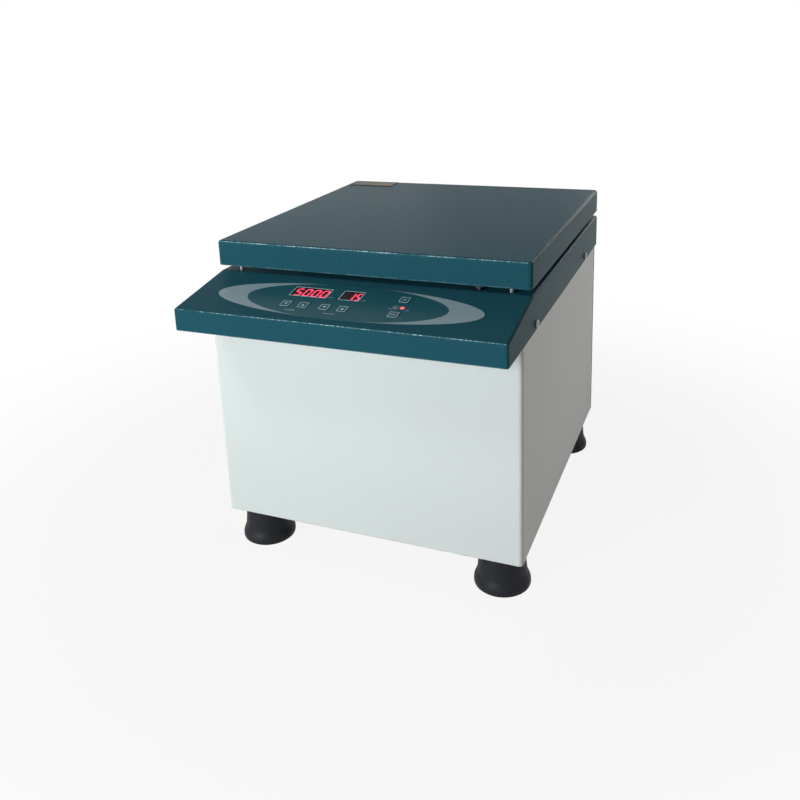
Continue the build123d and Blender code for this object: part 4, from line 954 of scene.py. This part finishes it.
@dataclass
class Shape:
    """A mesh in the making, in the axes of its own plane."""

    mesh: bmesh.types.BMesh

    @classmethod
    def empty(cls) -> "Shape":
        """A shape with nothing in it."""
        return cls(bmesh.new())

    def ring(self, outline: Sequence[Point2], height: float) -> list[bmesh.types.BMVert]:
        """Adds the corners of an outline at a height."""
        return [self.mesh.verts.new((x, y, height)) for x, y in outline]

    def band(self, lower: list[bmesh.types.BMVert], upper: list[bmesh.types.BMVert]) -> None:
        """Joins two rings with quads.

        Args:
            lower: The corners of one ring.
            upper: As many corners of the other, in the same order.
        """
        count = len(lower)
        for i in range(count):
            j = (i + 1) % count
            self.mesh.faces.new((lower[i], lower[j], upper[j], upper[i]))

    def plate(self, outline: Sequence[Point2], low: float, high: float, edge: float = 0.0) -> "Shape":
        """Adds a flat plate.

        Args:
            outline: Its corners, anticlockwise.
            low: The height of its back.
            high: The height of its face.
            edge: How far the face draws in from the sides.

        Returns:
            The shape itself.
        """
        rings = [self.ring(outline, low), self.ring(outline, high - edge)]
        if edge:
            middle = sum((Vector(point) for point in outline), Vector((0, 0))) / len(outline)
            reach = max((Vector(point) - middle).length for point in outline)
            face = [middle + (Vector(point) - middle) * (1 - edge / reach) for point in outline]
            rings.append(self.ring(face, high))
        for lower, upper in zip(rings, rings[1:]):
            self.band(lower, upper)
        self.mesh.faces.new(list(reversed(rings[0])))
        self.mesh.faces.new(rings[-1])
        return self

    def rim(self, outer: Sequence[Point2], inner: Sequence[Point2], low: float, high: float) -> "Shape":
        """Adds a frame between two outlines.

        Args:
            outer: The outline round the outside.
            inner: The outline round the opening, with as many corners.
            low: The height of its back.
            high: The height of its face.

        Returns:
            The shape itself.
        """
        levels = ((outer, low), (outer, high), (inner, high), (inner, low))
        rings = [self.ring(outline, height) for outline, height in levels]
        for lower, upper in zip(rings, rings[1:] + rings[:1]):
            self.band(lower, upper)
        return self

    def lathe(self, profile: Sequence[Point2], steps: int) -> "Shape":
        """Adds a turned solid.

        Args:
            profile: Its section as (radius, height), a closed loop clear of the axis.
            steps: How many facets go round.

        Returns:
            The shape itself.
        """
        rings = []
        for i in range(steps):
            angle = 2 * math.pi * i / steps
            c, s = math.cos(angle), math.sin(angle)
            rings.append([self.mesh.verts.new((r * c, r * s, z)) for r, z in profile])
        for here, there in zip(rings, rings[1:] + rings[:1]):
            self.band(here, there)
        return self

    def stroke(self, start: Point2, end: Point2, width: float, low: float, high: float) -> "Shape":
        """Adds a straight bar with square ends.

        Args:
            start: The middle of its first end.
            end: The middle of its other end.
            width: Its width, half of which it also reaches past its ends.
            low: The height of its back.
            high: The height of its face.

        Returns:
            The shape itself.
        """
        a, b = Vector(start), Vector(end)
        along = (b - a).normalized() * width / 2
        side = Vector((-along.y, along.x))
        corners = (a - along - side, b + along - side, b + along + side, a - along + side)
        return self.plate([tuple(corner) for corner in corners], low, high)

    def bake(self, name: str, material: bpy.types.Material, place: Matrix) -> bpy.types.Object:
        """Makes the shape an object of the scene.

        Args:
            name: The object's name.
            material: What covers it.
            place: The transform from the shape's axes to the frame's.

        Returns:
            The object, at the origin with its place in its mesh.
        """
        bmesh.ops.recalc_face_normals(self.mesh, faces=self.mesh.faces)
        self.mesh.transform(place)
        mesh = bpy.data.meshes.new(name)
        self.mesh.to_mesh(mesh)
        self.mesh.free()
        mesh.materials.append(material)
        return add_object(name, mesh)


def add_piece(
    name: str,
    shape: Shape,
    finish: Finish,
    body: Body,
    place: Matrix,
    stands_for: Sequence[str] = (),
) -> None:
    """Makes one piece of the object and reports it.

    Args:
        name: The piece's name.
        shape: Its mesh, in its own axes.
        finish: What it is coated with or made of.
        body: The body that it moves with.
        place: The transform from its own axes to the frame's.
        stands_for: The CAD nodes that it replaces.
    """
    piece = shape.bake(name, finish.material(), place)
    faces = piece.data.polygons
    faces.foreach_set("use_smooth", [True] * len(faces))
    piece.data.set_sharp_from_angle(angle=SHARP_ANGLE)
    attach(piece, body.value)
    if stands_for:
        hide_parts(*stands_for)
    log.info("piece %s on %s, %d faces", name, body.value, len(faces))


def dress(node: str, finish: Finish) -> None:
    """Gives a carried-over CAD node its finish.

    Args:
        node: The node's name.
        finish: The finish.
    """
    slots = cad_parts[node].data.materials
    slots.clear()
    slots.append(finish.material())
    log.info("node %s in %s", node, finish.name)


# ------------------------------------------------------------------ sub-assemblies
@dataclass
class Feet:
    """Four turned rubber feet, each flared to a rim at the floor.

    Their outside is given by points in millimetres: the skirt's are (how far inside the rim,
    height), the neck's (how far outside the waist, height), and the crown's (how far inside
    the top, how far below it).
    """

    rim_radius: float = 28.5 * MM
    waist_radius: float = 24.6 * MM
    top_radius: float = 23.4 * MM
    bore_radius: float = 9.0 * MM
    skirt: tuple[Point2, ...] = (
        (2.6, 0.0), (1.2, 0.25), (0.35, 1.0), (0.0, 2.2), (0.0, 4.6),
        (0.15, 6.0), (0.55, 7.4), (1.15, 8.9), (1.8, 10.6),
    )
    neck: tuple[Point2, ...] = ((0.95, 12.6), (0.4, 15.2), (0.0, 18.5))
    shoulder: Point2 = (0.5 * MM, 26.0 * MM)
    crown: tuple[Point2, ...] = ((0.0, 1.2), (0.3, 0.4), (1.0, 0.0))
    bore_bevel: Point2 = (0.6 * MM, 0.4 * MM)
    steps: int = 96

    def profile(self, height: float) -> list[Point2]:
        """The section of one foot.

        Args:
            height: From the floor to the cabinet's underside.

        Returns:
            Its points as (radius, height), up the outside and down the bore.
        """
        top, bore = self.top_radius, self.bore_radius
        outside = [(self.rim_radius - inset * MM, z * MM) for inset, z in self.skirt]
        outside += [(self.waist_radius + out * MM, z * MM) for out, z in self.neck]
        outside += [(top + self.shoulder[0], self.shoulder[1])]
        outside += [(top - inset * MM, height - depth * MM) for inset, depth in self.crown]
        return outside + [(bore, height), (bore, self.bore_bevel[1]), (bore + self.bore_bevel[0], 0.0)]

    def build(self) -> None:
        """Makes the four feet."""
        for node in ("front_left_foot", "front_right_foot", "rear_left_foot", "rear_right_foot"):
            low, high = box_of(node)
            middle = (low + high) / 2
            shape = Shape.empty().lathe(self.profile(high.z - low.z), self.steps)
            place = Matrix.Translation((middle.x, middle.y, low.z))
            add_piece(f"{node}_rubber", shape, BLACK_RUBBER, Body.CABINET, place, (node,))


@dataclass(frozen=True)
class Window:
    """One display: its window in the panel, and the row of figures behind it."""

    name: str
    text: str
    x: float
    width: float
    figure: float
    pitch: float
    row_x: float
    up: float = -32.0 * MM
    height: float = 17.6 * MM

    def outline(self, grow: float, corner: float) -> list[Point2]:
        """The window's outline, larger by grow all round."""
        plain = rounded_rectangle(self.width + 2 * grow, self.height + 2 * grow, corner)
        return moved(plain, self.x, self.up)


@dataclass
class Digits:
    """Seven-segment figures; a segment's key is its letter, a at the top and g in the middle."""

    height: float = 14.4 * MM
    bar: float = 1.7 * MM
    gap: float = 0.2 * MM
    lean: float = 0.06

    LIT = {"0": "abcdef", "1": "bc", "5": "acdfg"}

    def segment(self, key: str, width: float) -> list[Point2]:
        """The outline of one segment.

        Args:
            key: Its letter.
            width: The figure's width.

        Returns:
            Six corners with pointed ends.
        """
        half_w, half_h = (width - self.bar) / 2, (self.height - self.bar) / 2
        level = {"a": half_h, "g": 0.0, "d": -half_h}
        t, g = self.bar / 2, self.gap
        if key in level:
            y, x0, x1 = level[key], -half_w + g, half_w - g
            return [(x0, y), (x0 + t, y - t), (x1 - t, y - t), (x1, y), (x1 - t, y + t), (x0 + t, y + t)]
        x = half_w if key in "bc" else -half_w
        y0, y1 = (g, half_h - g) if key in "bf" else (-half_h + g, -g)
        return [(x, y0), (x + t, y0 + t), (x + t, y1 - t), (x, y1), (x - t, y1 - t), (x - t, y0 + t)]

    def draw(self, window: Window, low: float, high: float) -> tuple[Shape, Shape]:
        """Draws a window's row of figures.

        Args:
            window: The window.
            low: The foot of the light bars.
            high: The face of the light bars.

        Returns:
            The lit bars and the unlit ones.
        """
        lit, unlit = Shape.empty(), Shape.empty()
        for index, figure in enumerate(window.text):
            x = window.row_x + (index - (len(window.text) - 1) / 2) * window.pitch
            for key in "abcdefg":
                outline = moved(leaned(self.segment(key, window.figure), self.lean), x, window.up)
                target = lit if key in self.LIT.get(figure, "") else unlit
                target.plate(outline, low, high)
        return lit, unlit


@dataclass(frozen=True)
class Key:
    """One flat key: the body that it is, its middle on the panel, and its mark."""

    body: Body
    x: float
    up: float
    mark: Mark


@dataclass
class ControlPanel:
    """The panel's windows, key outlines, small print and lamps, in the slope's own axes."""

    face: float = 0.4 * MM
    ink: float = 0.06 * MM
    sink: float = 0.02 * MM

    windows: tuple[Window, ...] = (
        Window("speed", "5000", -44.0 * MM, 39.2 * MM, figure=7.2 * MM, pitch=9.2 * MM, row_x=-43.4 * MM),
        Window("time", " 15", -1.0 * MM, 20.8 * MM, figure=4.9 * MM, pitch=6.3 * MM, row_x=-0.7 * MM),
    )
    window_corner: float = 0.4 * MM
    frame_corner: float = 0.7 * MM
    frame_outside: float = 0.35 * MM
    frame_inside: float = -0.5 * MM
    module_inset: float = -0.2 * MM
    module_foot: float = -3.3 * MM
    bar_foot: float = -0.45 * MM
    bar_face: float = -0.3 * MM

    keys: tuple[Key, ...] = (
        Key(Body.SPEED_DOWN, -57.6 * MM, -58.0 * MM, Mark.DOWN),
        Key(Body.SPEED_UP, -39.3 * MM, -58.0 * MM, Mark.UP),
        Key(Body.TIME_DOWN, -17.3 * MM, -58.0 * MM, Mark.DOWN),
        Key(Body.TIME_UP, 1.3 * MM, -58.0 * MM, Mark.UP),
        Key(Body.START, 52.1 * MM, -30.7 * MM, Mark.ON),
        Key(Body.STOP, 52.1 * MM, -59.4 * MM, Mark.OFF),
    )
    key_face: float = 0.9 * MM
    outline_size: Point2 = (9.1 * MM, 9.9 * MM)
    outline_corner: float = 0.9 * MM
    outline_line: float = 0.6 * MM
    outline_inner_corner: float = 0.6 * MM
    arrow_size: Point2 = (3.8 * MM, 3.3 * MM)
    letter_size: Point2 = (1.2 * MM, 2.0 * MM)
    letter_pitch: float = 1.9 * MM
    letter_line: float = 0.34 * MM

    scale_up: float = -69.0 * MM
    scale_pitch: float = 1.35 * MM
    scale_line: float = 0.5 * MM
    scale_ticks: int = 8
    speed_scale_x: float = -48.4 * MM
    speed_tick: float = 0.5 * MM
    speed_tick_step: float = 0.2 * MM
    time_scale_x: float = -8.0 * MM
    time_tick: float = 0.9 * MM
    time_end_tick: float = 1.7 * MM
    row_pitch: float = 1.2 * MM
    row_tick: float = 0.9 * MM
    row_line: float = 0.45 * MM
    rows: tuple[tuple[float, float, int], ...] = (
        (-21.8 * MM, -39.0 * MM, 4),
        (12.0 * MM, -39.0 * MM, 4),
        (43.6 * MM, -49.4 * MM, 3),
        (60.2 * MM, -49.4 * MM, 3),
    )

    lamp_up: float = -45.4 * MM
    unlit_lamp_x: float = 49.0 * MM
    lit_lamp_x: float = 55.4 * MM
    lamp_radius: float = 2.0 * MM
    lamp_bore: float = 0.2 * MM
    lamp_rise: float = 0.6 * MM
    lamp_foot: float = -10.0 * MM
    dome_steps: int = 8
    ring_outside: float = 2.9 * MM
    ring_inside: float = 2.35 * MM

    LETTERS = {
        "O": ((0, 0, 1, 0), (1, 0, 1, 1), (1, 1, 0, 1), (0, 1, 0, 0)),
        "N": ((0, 0, 0, 1), (0, 1, 1, 0), (1, 0, 1, 1)),
        "F": ((0, 0, 0, 1), (0, 1, 1, 1), (0, 0.52, 0.8, 0.52)),
    }

    def fix(
        self, name: str, shape: Shape, finish: Finish, stands_for: Sequence[str] = ()
    ) -> None:
        """Adds a piece that is fixed to the panel."""
        add_piece(name, shape, finish, Body.CABINET, PANEL.matrix(), stands_for)

    def build_windows(self) -> None:
        """Makes the smoked panes, their printed frames, the modules below them, whose dark red is a
        painted glow of the lit bars, and the figures.
        """
        pane, block, trim = Shape.empty(), Shape.empty(), Shape.empty()
        under, over, corner = self.face - self.sink, self.face + self.ink, self.window_corner
        for window in self.windows:
            pane.plate(window.outline(0.0, corner), self.bar_foot, under)
            block.plate(window.outline(self.module_inset, corner), self.module_foot, self.bar_foot)
            outside = window.outline(self.frame_outside, self.frame_corner)
            trim.rim(outside, window.outline(self.frame_inside, corner), under, over)
        self.fix("window_panes", pane, PANE, ("display_filter",))
        self.fix("window_modules", block, WINDOW_GLOW_RED)
        self.fix("window_frames", trim, PALE_INK)
        digits = Digits()
        for window in self.windows:
            lit, unlit = digits.draw(window, self.bar_foot, self.bar_face)
            self.fix(f"{window.name}_lit_bars", lit, RED_LIGHT)
            self.fix(f"{window.name}_unlit_bars", unlit, DARK_SEGMENT)

    def build_key_print(self) -> None:
        """Makes the outline and the mark of each key."""
        low, high = self.key_face - self.sink, self.key_face + self.ink
        width, height = self.outline_size
        outer = rounded_rectangle(width, height, self.outline_corner)
        width, height = width - 2 * self.outline_line, height - 2 * self.outline_line
        inner = rounded_rectangle(width, height, self.outline_inner_corner)
        for key in self.keys:
            shape = Shape.empty()
            shape.rim(moved(outer, key.x, key.up), moved(inner, key.x, key.up), low, high)
            draw = self.draw_arrow if key.mark in (Mark.UP, Mark.DOWN) else self.draw_word
            draw(shape, key, low, high)
            name = key.body.value
            add_piece(f"{name}_print", shape, PALE_INK, key.body, PANEL.matrix())

    def draw_arrow(self, shape: Shape, key: Key, low: float, high: float) -> None:
        """Adds an arrow head about a key's middle.

        Args:
            shape: The print that it is added to.
            key: The key.
            low: The height of the print's back.
            high: The height of its face.
        """
        half, tip = self.arrow_size[0] / 2, self.arrow_size[1] / 2
        corners = [(-half, -tip), (half, -tip), (0.0, tip)]
        if key.mark is Mark.DOWN:
            corners = [(x, -y) for x, y in reversed(corners)]
        shape.plate(moved(corners, key.x, key.up), low, high)

    def draw_word(self, shape: Shape, key: Key, low: float, high: float) -> None:
        """Adds a short word in straight strokes about a key's middle.

        Args:
            shape: The print that it is added to.
            key: The key.
            low: The height of the print's back.
            high: The height of its face.
        """
        wide, tall = self.letter_size
        word = key.mark.value
        for index, letter in enumerate(word):
            left = key.x + (index - (len(word) - 1) / 2) * self.letter_pitch - wide / 2
            for x0, y0, x1, y1 in self.LETTERS[letter]:
                start = (left + x0 * wide, key.up + (y0 - 0.5) * tall)
                end = (left + x1 * wide, key.up + (y1 - 0.5) * tall)
                shape.stroke(start, end, self.letter_line, low, high)

    def build_small_print(self) -> None:
        """Makes a scale of ticks under each pair of keys, and short rows by the windows and lamps."""
        low, high = self.face, self.face + self.ink
        shape = Shape.empty()
        last = self.scale_ticks - 1
        for tick in range(self.scale_ticks):
            across = (tick - last / 2) * self.scale_pitch
            rising = self.speed_tick + tick * self.speed_tick_step
            level = self.time_end_tick if tick in (0, last) else self.time_tick
            for x, tall in ((self.speed_scale_x + across, rising), (self.time_scale_x + across, level)):
                shape.stroke((x, self.scale_up), (x, self.scale_up + tall), self.scale_line, low, high)
        for x, up, count in self.rows:
            for tick in range(count):
                across = x + tick * self.row_pitch
                shape.stroke((across, up), (across, up + self.row_tick), self.row_line, low, high)
        self.fix("panel_small_print", shape, PALE_INK)

    def build_lamps(self) -> None:
        """Makes two round lamps, the right one lit, with a printed ring round the other."""
        bore, reach = self.lamp_bore, self.lamp_radius - self.lamp_bore
        dome = [(bore, self.lamp_foot), (self.lamp_radius, self.lamp_foot)]
        for step in range(self.dome_steps + 1):
            angle = math.pi / 2 * step / self.dome_steps
            dome.append((bore + reach * math.cos(angle), self.face + self.lamp_rise * math.sin(angle)))
        unlit, lit = (
            PANEL.matrix() @ Matrix.Translation((x, self.lamp_up, 0))
            for x in (self.unlit_lamp_x, self.lit_lamp_x)
        )
        for name, place, finish in (("lamp_unlit", unlit, CLEAR_LAMP), ("lamp_lit", lit, RED_LAMP)):
            shape = Shape.empty().lathe(dome, CIRCLE_STEPS)
            add_piece(name, shape, finish, Body.CABINET, place, ("status_leds",))
        outside, inside = circle(self.ring_outside), circle(self.ring_inside)
        ring = Shape.empty().rim(outside, inside, self.face, self.face + self.ink)
        add_piece("lamp_ring", ring, PALE_INK, Body.CABINET, unlit)

    def build(self) -> None:
        """Makes everything on the panel."""
        self.build_windows()
        self.build_key_print()
        self.build_small_print()
        self.build_lamps()


@dataclass
class LidPlate:
    """The small plate at the lid's rear left corner."""

    edge: float = 0.15 * MM
    corner: float = 1.5 * MM
    split: float = 0.52

    def build(self) -> None:
        """Makes the plate with round corners."""
        low, high = box_of("lid_plate")
        width, depth = high.x - low.x, high.y - low.y
        finish = PlatePrint(
            "plate_print",
            border=(0.012, 0.016, 0.017),
            left=(0.1, 0.1, 0.09),
            right=(0.2, 0.125, 0.07),
            stripe=(0.13, 0.125, 0.06),
            split_x=low.x + width * self.split,
            low=(low.x, low.y),
            high=(high.x, high.y),
        )
        outline = rounded_rectangle(width, depth, self.corner)
        shape = Shape.empty().plate(outline, 0.0, high.z - low.z, self.edge)
        place = Matrix.Translation(((low.x + high.x) / 2, (low.y + high.y) / 2, low.z))
        add_piece("lid_plate_print", shape, finish, Body.LID, place, ("lid_plate",))


@dataclass
class RearFittings:
    """Bright blades in the mains inlet, and the marks on the rocker switch."""

    height: float = 44.0 * MM
    inlet_x: float = 100.0 * MM
    blade_spacing: float = 7.0 * MM
    blade_rise: float = 2.0 * MM
    blade: Point2 = (2.3 * MM, 4.3 * MM)
    blade_corner: float = 0.4 * MM
    blade_bevel: float = 0.5 * MM
    blade_root: float = -15.0 * MM
    blade_tip: float = -1.8 * MM
    rocker_x: float = 45.0 * MM
    pivot_depth: float = 2.0 * MM
    rocker_reach: float = 6.2 * MM
    rocker_half: float = 9.6 * MM
    rocker_dip: float = 1.6 * MM
    tilt: float = math.radians(8.0)
    ink: float = 0.08 * MM
    bar: Point2 = (1.0 * MM, 4.4 * MM)
    bar_corner: float = 0.3 * MM
    ring: Point2 = (2.2 * MM, 1.4 * MM)

    def build_blades(self) -> None:
        """Makes three plated blades over the inlet's pins, seen in its well."""
        shape = Shape.empty()
        outline = rounded_rectangle(*self.blade, self.blade_corner)
        for across, rise in ((-1, -1), (0, 1), (1, -1)):
            placed = moved(outline, across * self.blade_spacing, rise * self.blade_rise)
            shape.plate(placed, self.blade_root, self.blade_tip, self.blade_bevel)
        place = Matrix.Translation((self.inlet_x, COWL_HIGH.y, SHELL_LOW.z + self.height))
        turn = Matrix(((-1, 0, 0), (0, 0, 1), (0, 1, 0))).to_4x4()
        add_piece("inlet_blades", shape, BRASS, Body.CABINET, place @ turn)

    def build_rocker_mark(self, name: str, shape: Shape, way: int) -> None:
        """Makes the mark on one half of the rocker, which is dished and stands tilted.

        Args:
            name: The mark's name.
            shape: Its print, about the origin.
            way: 1 for the upper half and -1 for the lower.
        """
        lean = self.tilt - way * math.atan2(self.rocker_dip, self.rocker_half)
        up = Vector((0, -math.sin(lean), math.cos(lean)))
        out = Vector((0, up.z, -up.y))
        forward = Vector((0, math.cos(self.tilt), math.sin(self.tilt)))
        along = Vector((0, -math.sin(self.tilt), math.cos(self.tilt)))
        pivot = Vector((self.rocker_x, COWL_HIGH.y - self.pivot_depth, SHELL_LOW.z + self.height))
        centre = pivot + forward * (self.rocker_reach - self.rocker_dip / 2)
        centre += along * (way * self.rocker_half / 2)
        turn = Matrix((Vector((-1, 0, 0)), up, out)).transposed().to_4x4()
        place = Matrix.Translation(centre) @ turn
        add_piece(f"rocker_{name}", shape, PALE_INK, Body.ROCKER, place)

    def build(self) -> None:
        """Makes the blades, a bar on the rocker's upper half and a ring on its lower half."""
        self.build_blades()
        bar = rounded_rectangle(*self.bar, self.bar_corner)
        outside, inside = (circle(radius) for radius in self.ring)
        self.build_rocker_mark("bar", Shape.empty().plate(bar, 0.0, self.ink), 1)
        self.build_rocker_mark("ring", Shape.empty().rim(outside, inside, 0.0, self.ink), -1)


# ------------------------------------------------------------------ studio
@dataclass(frozen=True)
class Lamp:
    """A soft square lamp that faces the object's middle."""

    name: str
    place: Corner
    size: float
    watts: float
    colour: Colour
    target: Corner = (0.0, 0.0, 0.17)

    def build(self) -> None:
        """Makes the lamp."""
        data = bpy.data.lights.new(self.name, "AREA")
        data.size = self.size
        data.energy = self.watts
        data.color = self.colour
        lamp = add_object(self.name, data)
        lamp.location = self.place
        aim = Vector(self.target) - Vector(self.place)
        lamp.rotation_euler = aim.to_track_quat("-Z", "Y").to_euler()


@dataclass
class Studio:
    """A pale floor, soft lamps and the photograph's camera, whose lengths are in its pixels."""

    focal: float = 860.49
    frame_width: float = 800.0
    principal: Point2 = (400.0, 250.0)
    azimuth: float = 0.394829
    elevation: float = 0.260705
    roll: float = -0.038122
    eye: Corner = (0.338917, -0.854319, 0.547436)
    sensor: float = 36.0
    clip: Point2 = (0.05, 50.0)

    floor_radius: float = 6.0
    floor_depth: float = 0.01
    floor_hole: float = 0.001
    floor_steps: int = 96
    floor_colour: Colour = (0.56, 0.52, 0.46)
    shadow_reach: Point2 = (0.3, 0.85)
    near_white: float = 0.89
    white: Colour = (1.0, 1.0, 1.0)
    sky: Colour = (1.0, 0.93, 0.85)
    sky_strength: float = 0.1

    lamps: tuple[Lamp, ...] = (
        Lamp("key_lamp", (-0.93, -2.27, 0.75), 0.9, 49.0, (0.97, 1.0, 1.0)),
        Lamp("edge_lamp", (-0.89, -1.1, 1.95), 0.5, 8.0, (0.97, 1.0, 1.0)),
        Lamp("right_lamp", (2.2, -0.1, 0.8), 1.0, 2.4, (1.0, 0.86, 0.7)),
        Lamp("left_rear_lamp", (-1.3, 1.9, 0.85), 1.2, 1.8, (1.0, 0.98, 0.95)),
        Lamp("rear_lamp", (0.35, 2.4, 0.5), 1.0, 12.0, (1.0, 0.97, 0.93)),
    )

    def build_camera(self) -> None:
        """Puts the camera at the photograph's place, looking along its axis."""
        data = bpy.data.cameras.new("photo_camera")
        data.sensor_width = self.sensor
        data.lens = self.focal / self.frame_width * self.sensor
        data.shift_x = (self.frame_width / 2 - self.principal[0]) / self.frame_width
        data.shift_y = (self.principal[1] - self.frame_width / 2) / self.frame_width
        data.clip_start, data.clip_end = self.clip
        level, drop = math.cos(self.elevation), math.sin(self.elevation)
        ahead = Vector((-math.sin(self.azimuth) * level, math.cos(self.azimuth) * level, -drop))
        right = ahead.cross(Vector((0, 0, 1))).normalized()
        up = right.cross(ahead)
        c, s = math.cos(self.roll), math.sin(self.roll)
        axes = (right * c + up * s, up * c - right * s, -ahead)
        camera = add_object("photo_camera", data)
        camera.matrix_world = Matrix.Translation(self.eye) @ Matrix(axes).transposed().to_4x4()
        bpy.context.scene.camera = camera

    def build_floor(self) -> None:
        """Makes a wide floor, white far away, that takes a soft shadow near the object."""
        hole, edge, foot = self.floor_hole, self.floor_radius, -self.floor_depth
        section = [(hole, 0.0), (edge, 0.0), (edge, foot), (hole, foot)]
        shape = Shape.empty().lathe(section, self.floor_steps)
        net = Network(bpy.data.materials.new("studio_floor"))
        x, y, _ = net.axes(net.place())
        far = distance(x, y).smooth(*self.shadow_reach)
        near = net.node("ShaderNodeBsdfDiffuse", None, {"Color": self.floor_colour})
        white = net.node("ShaderNodeEmission", None, {"Color": self.white, "Strength": 1.0})
        share = net.seen() * (far * (1 - self.near_white) + self.near_white)
        mixed = net.node("ShaderNodeMixShader", None, {0: share, 1: near, 2: white})
        shape.bake("floor", net.finish(mixed), Matrix.Identity(4))

    def build_world(self) -> None:
        """Makes a plain sky that is white where it is seen and dim as a light."""
        world = bpy.data.worlds.new("studio_world")
        bpy.context.scene.world = world
        net = Network(world)
        dim, plain = (
            net.node("ShaderNodeBackground", None, {"Color": colour, "Strength": strength})
            for colour, strength in ((self.sky, self.sky_strength), (self.white, 1.0))
        )
        mixed = net.node("ShaderNodeMixShader", None, {0: net.seen(), 1: dim, 2: plain})
        net.finish(mixed, "ShaderNodeOutputWorld")

    def build(self) -> None:
        """Sets up the whole studio."""
        self.build_camera()
        self.build_floor()
        self.build_world()
        for lamp in self.lamps:
            lamp.build()
        bpy.context.scene.view_settings.view_transform = "Standard"


def main() -> None:
    """Builds the studio and the object's sub-assemblies in order."""
    logging.basicConfig(level=logging.INFO, format="%(message)s")
    Studio().build()
    for finish, nodes in CARRIED_OVER:
        for node in nodes:
            dress(node, finish)
    for part in (Feet(), ControlPanel(), LidPlate(), RearFittings()):
        log.info("building %s", type(part).__name__)
        part.build()


if __name__ == "__main__":
    main()
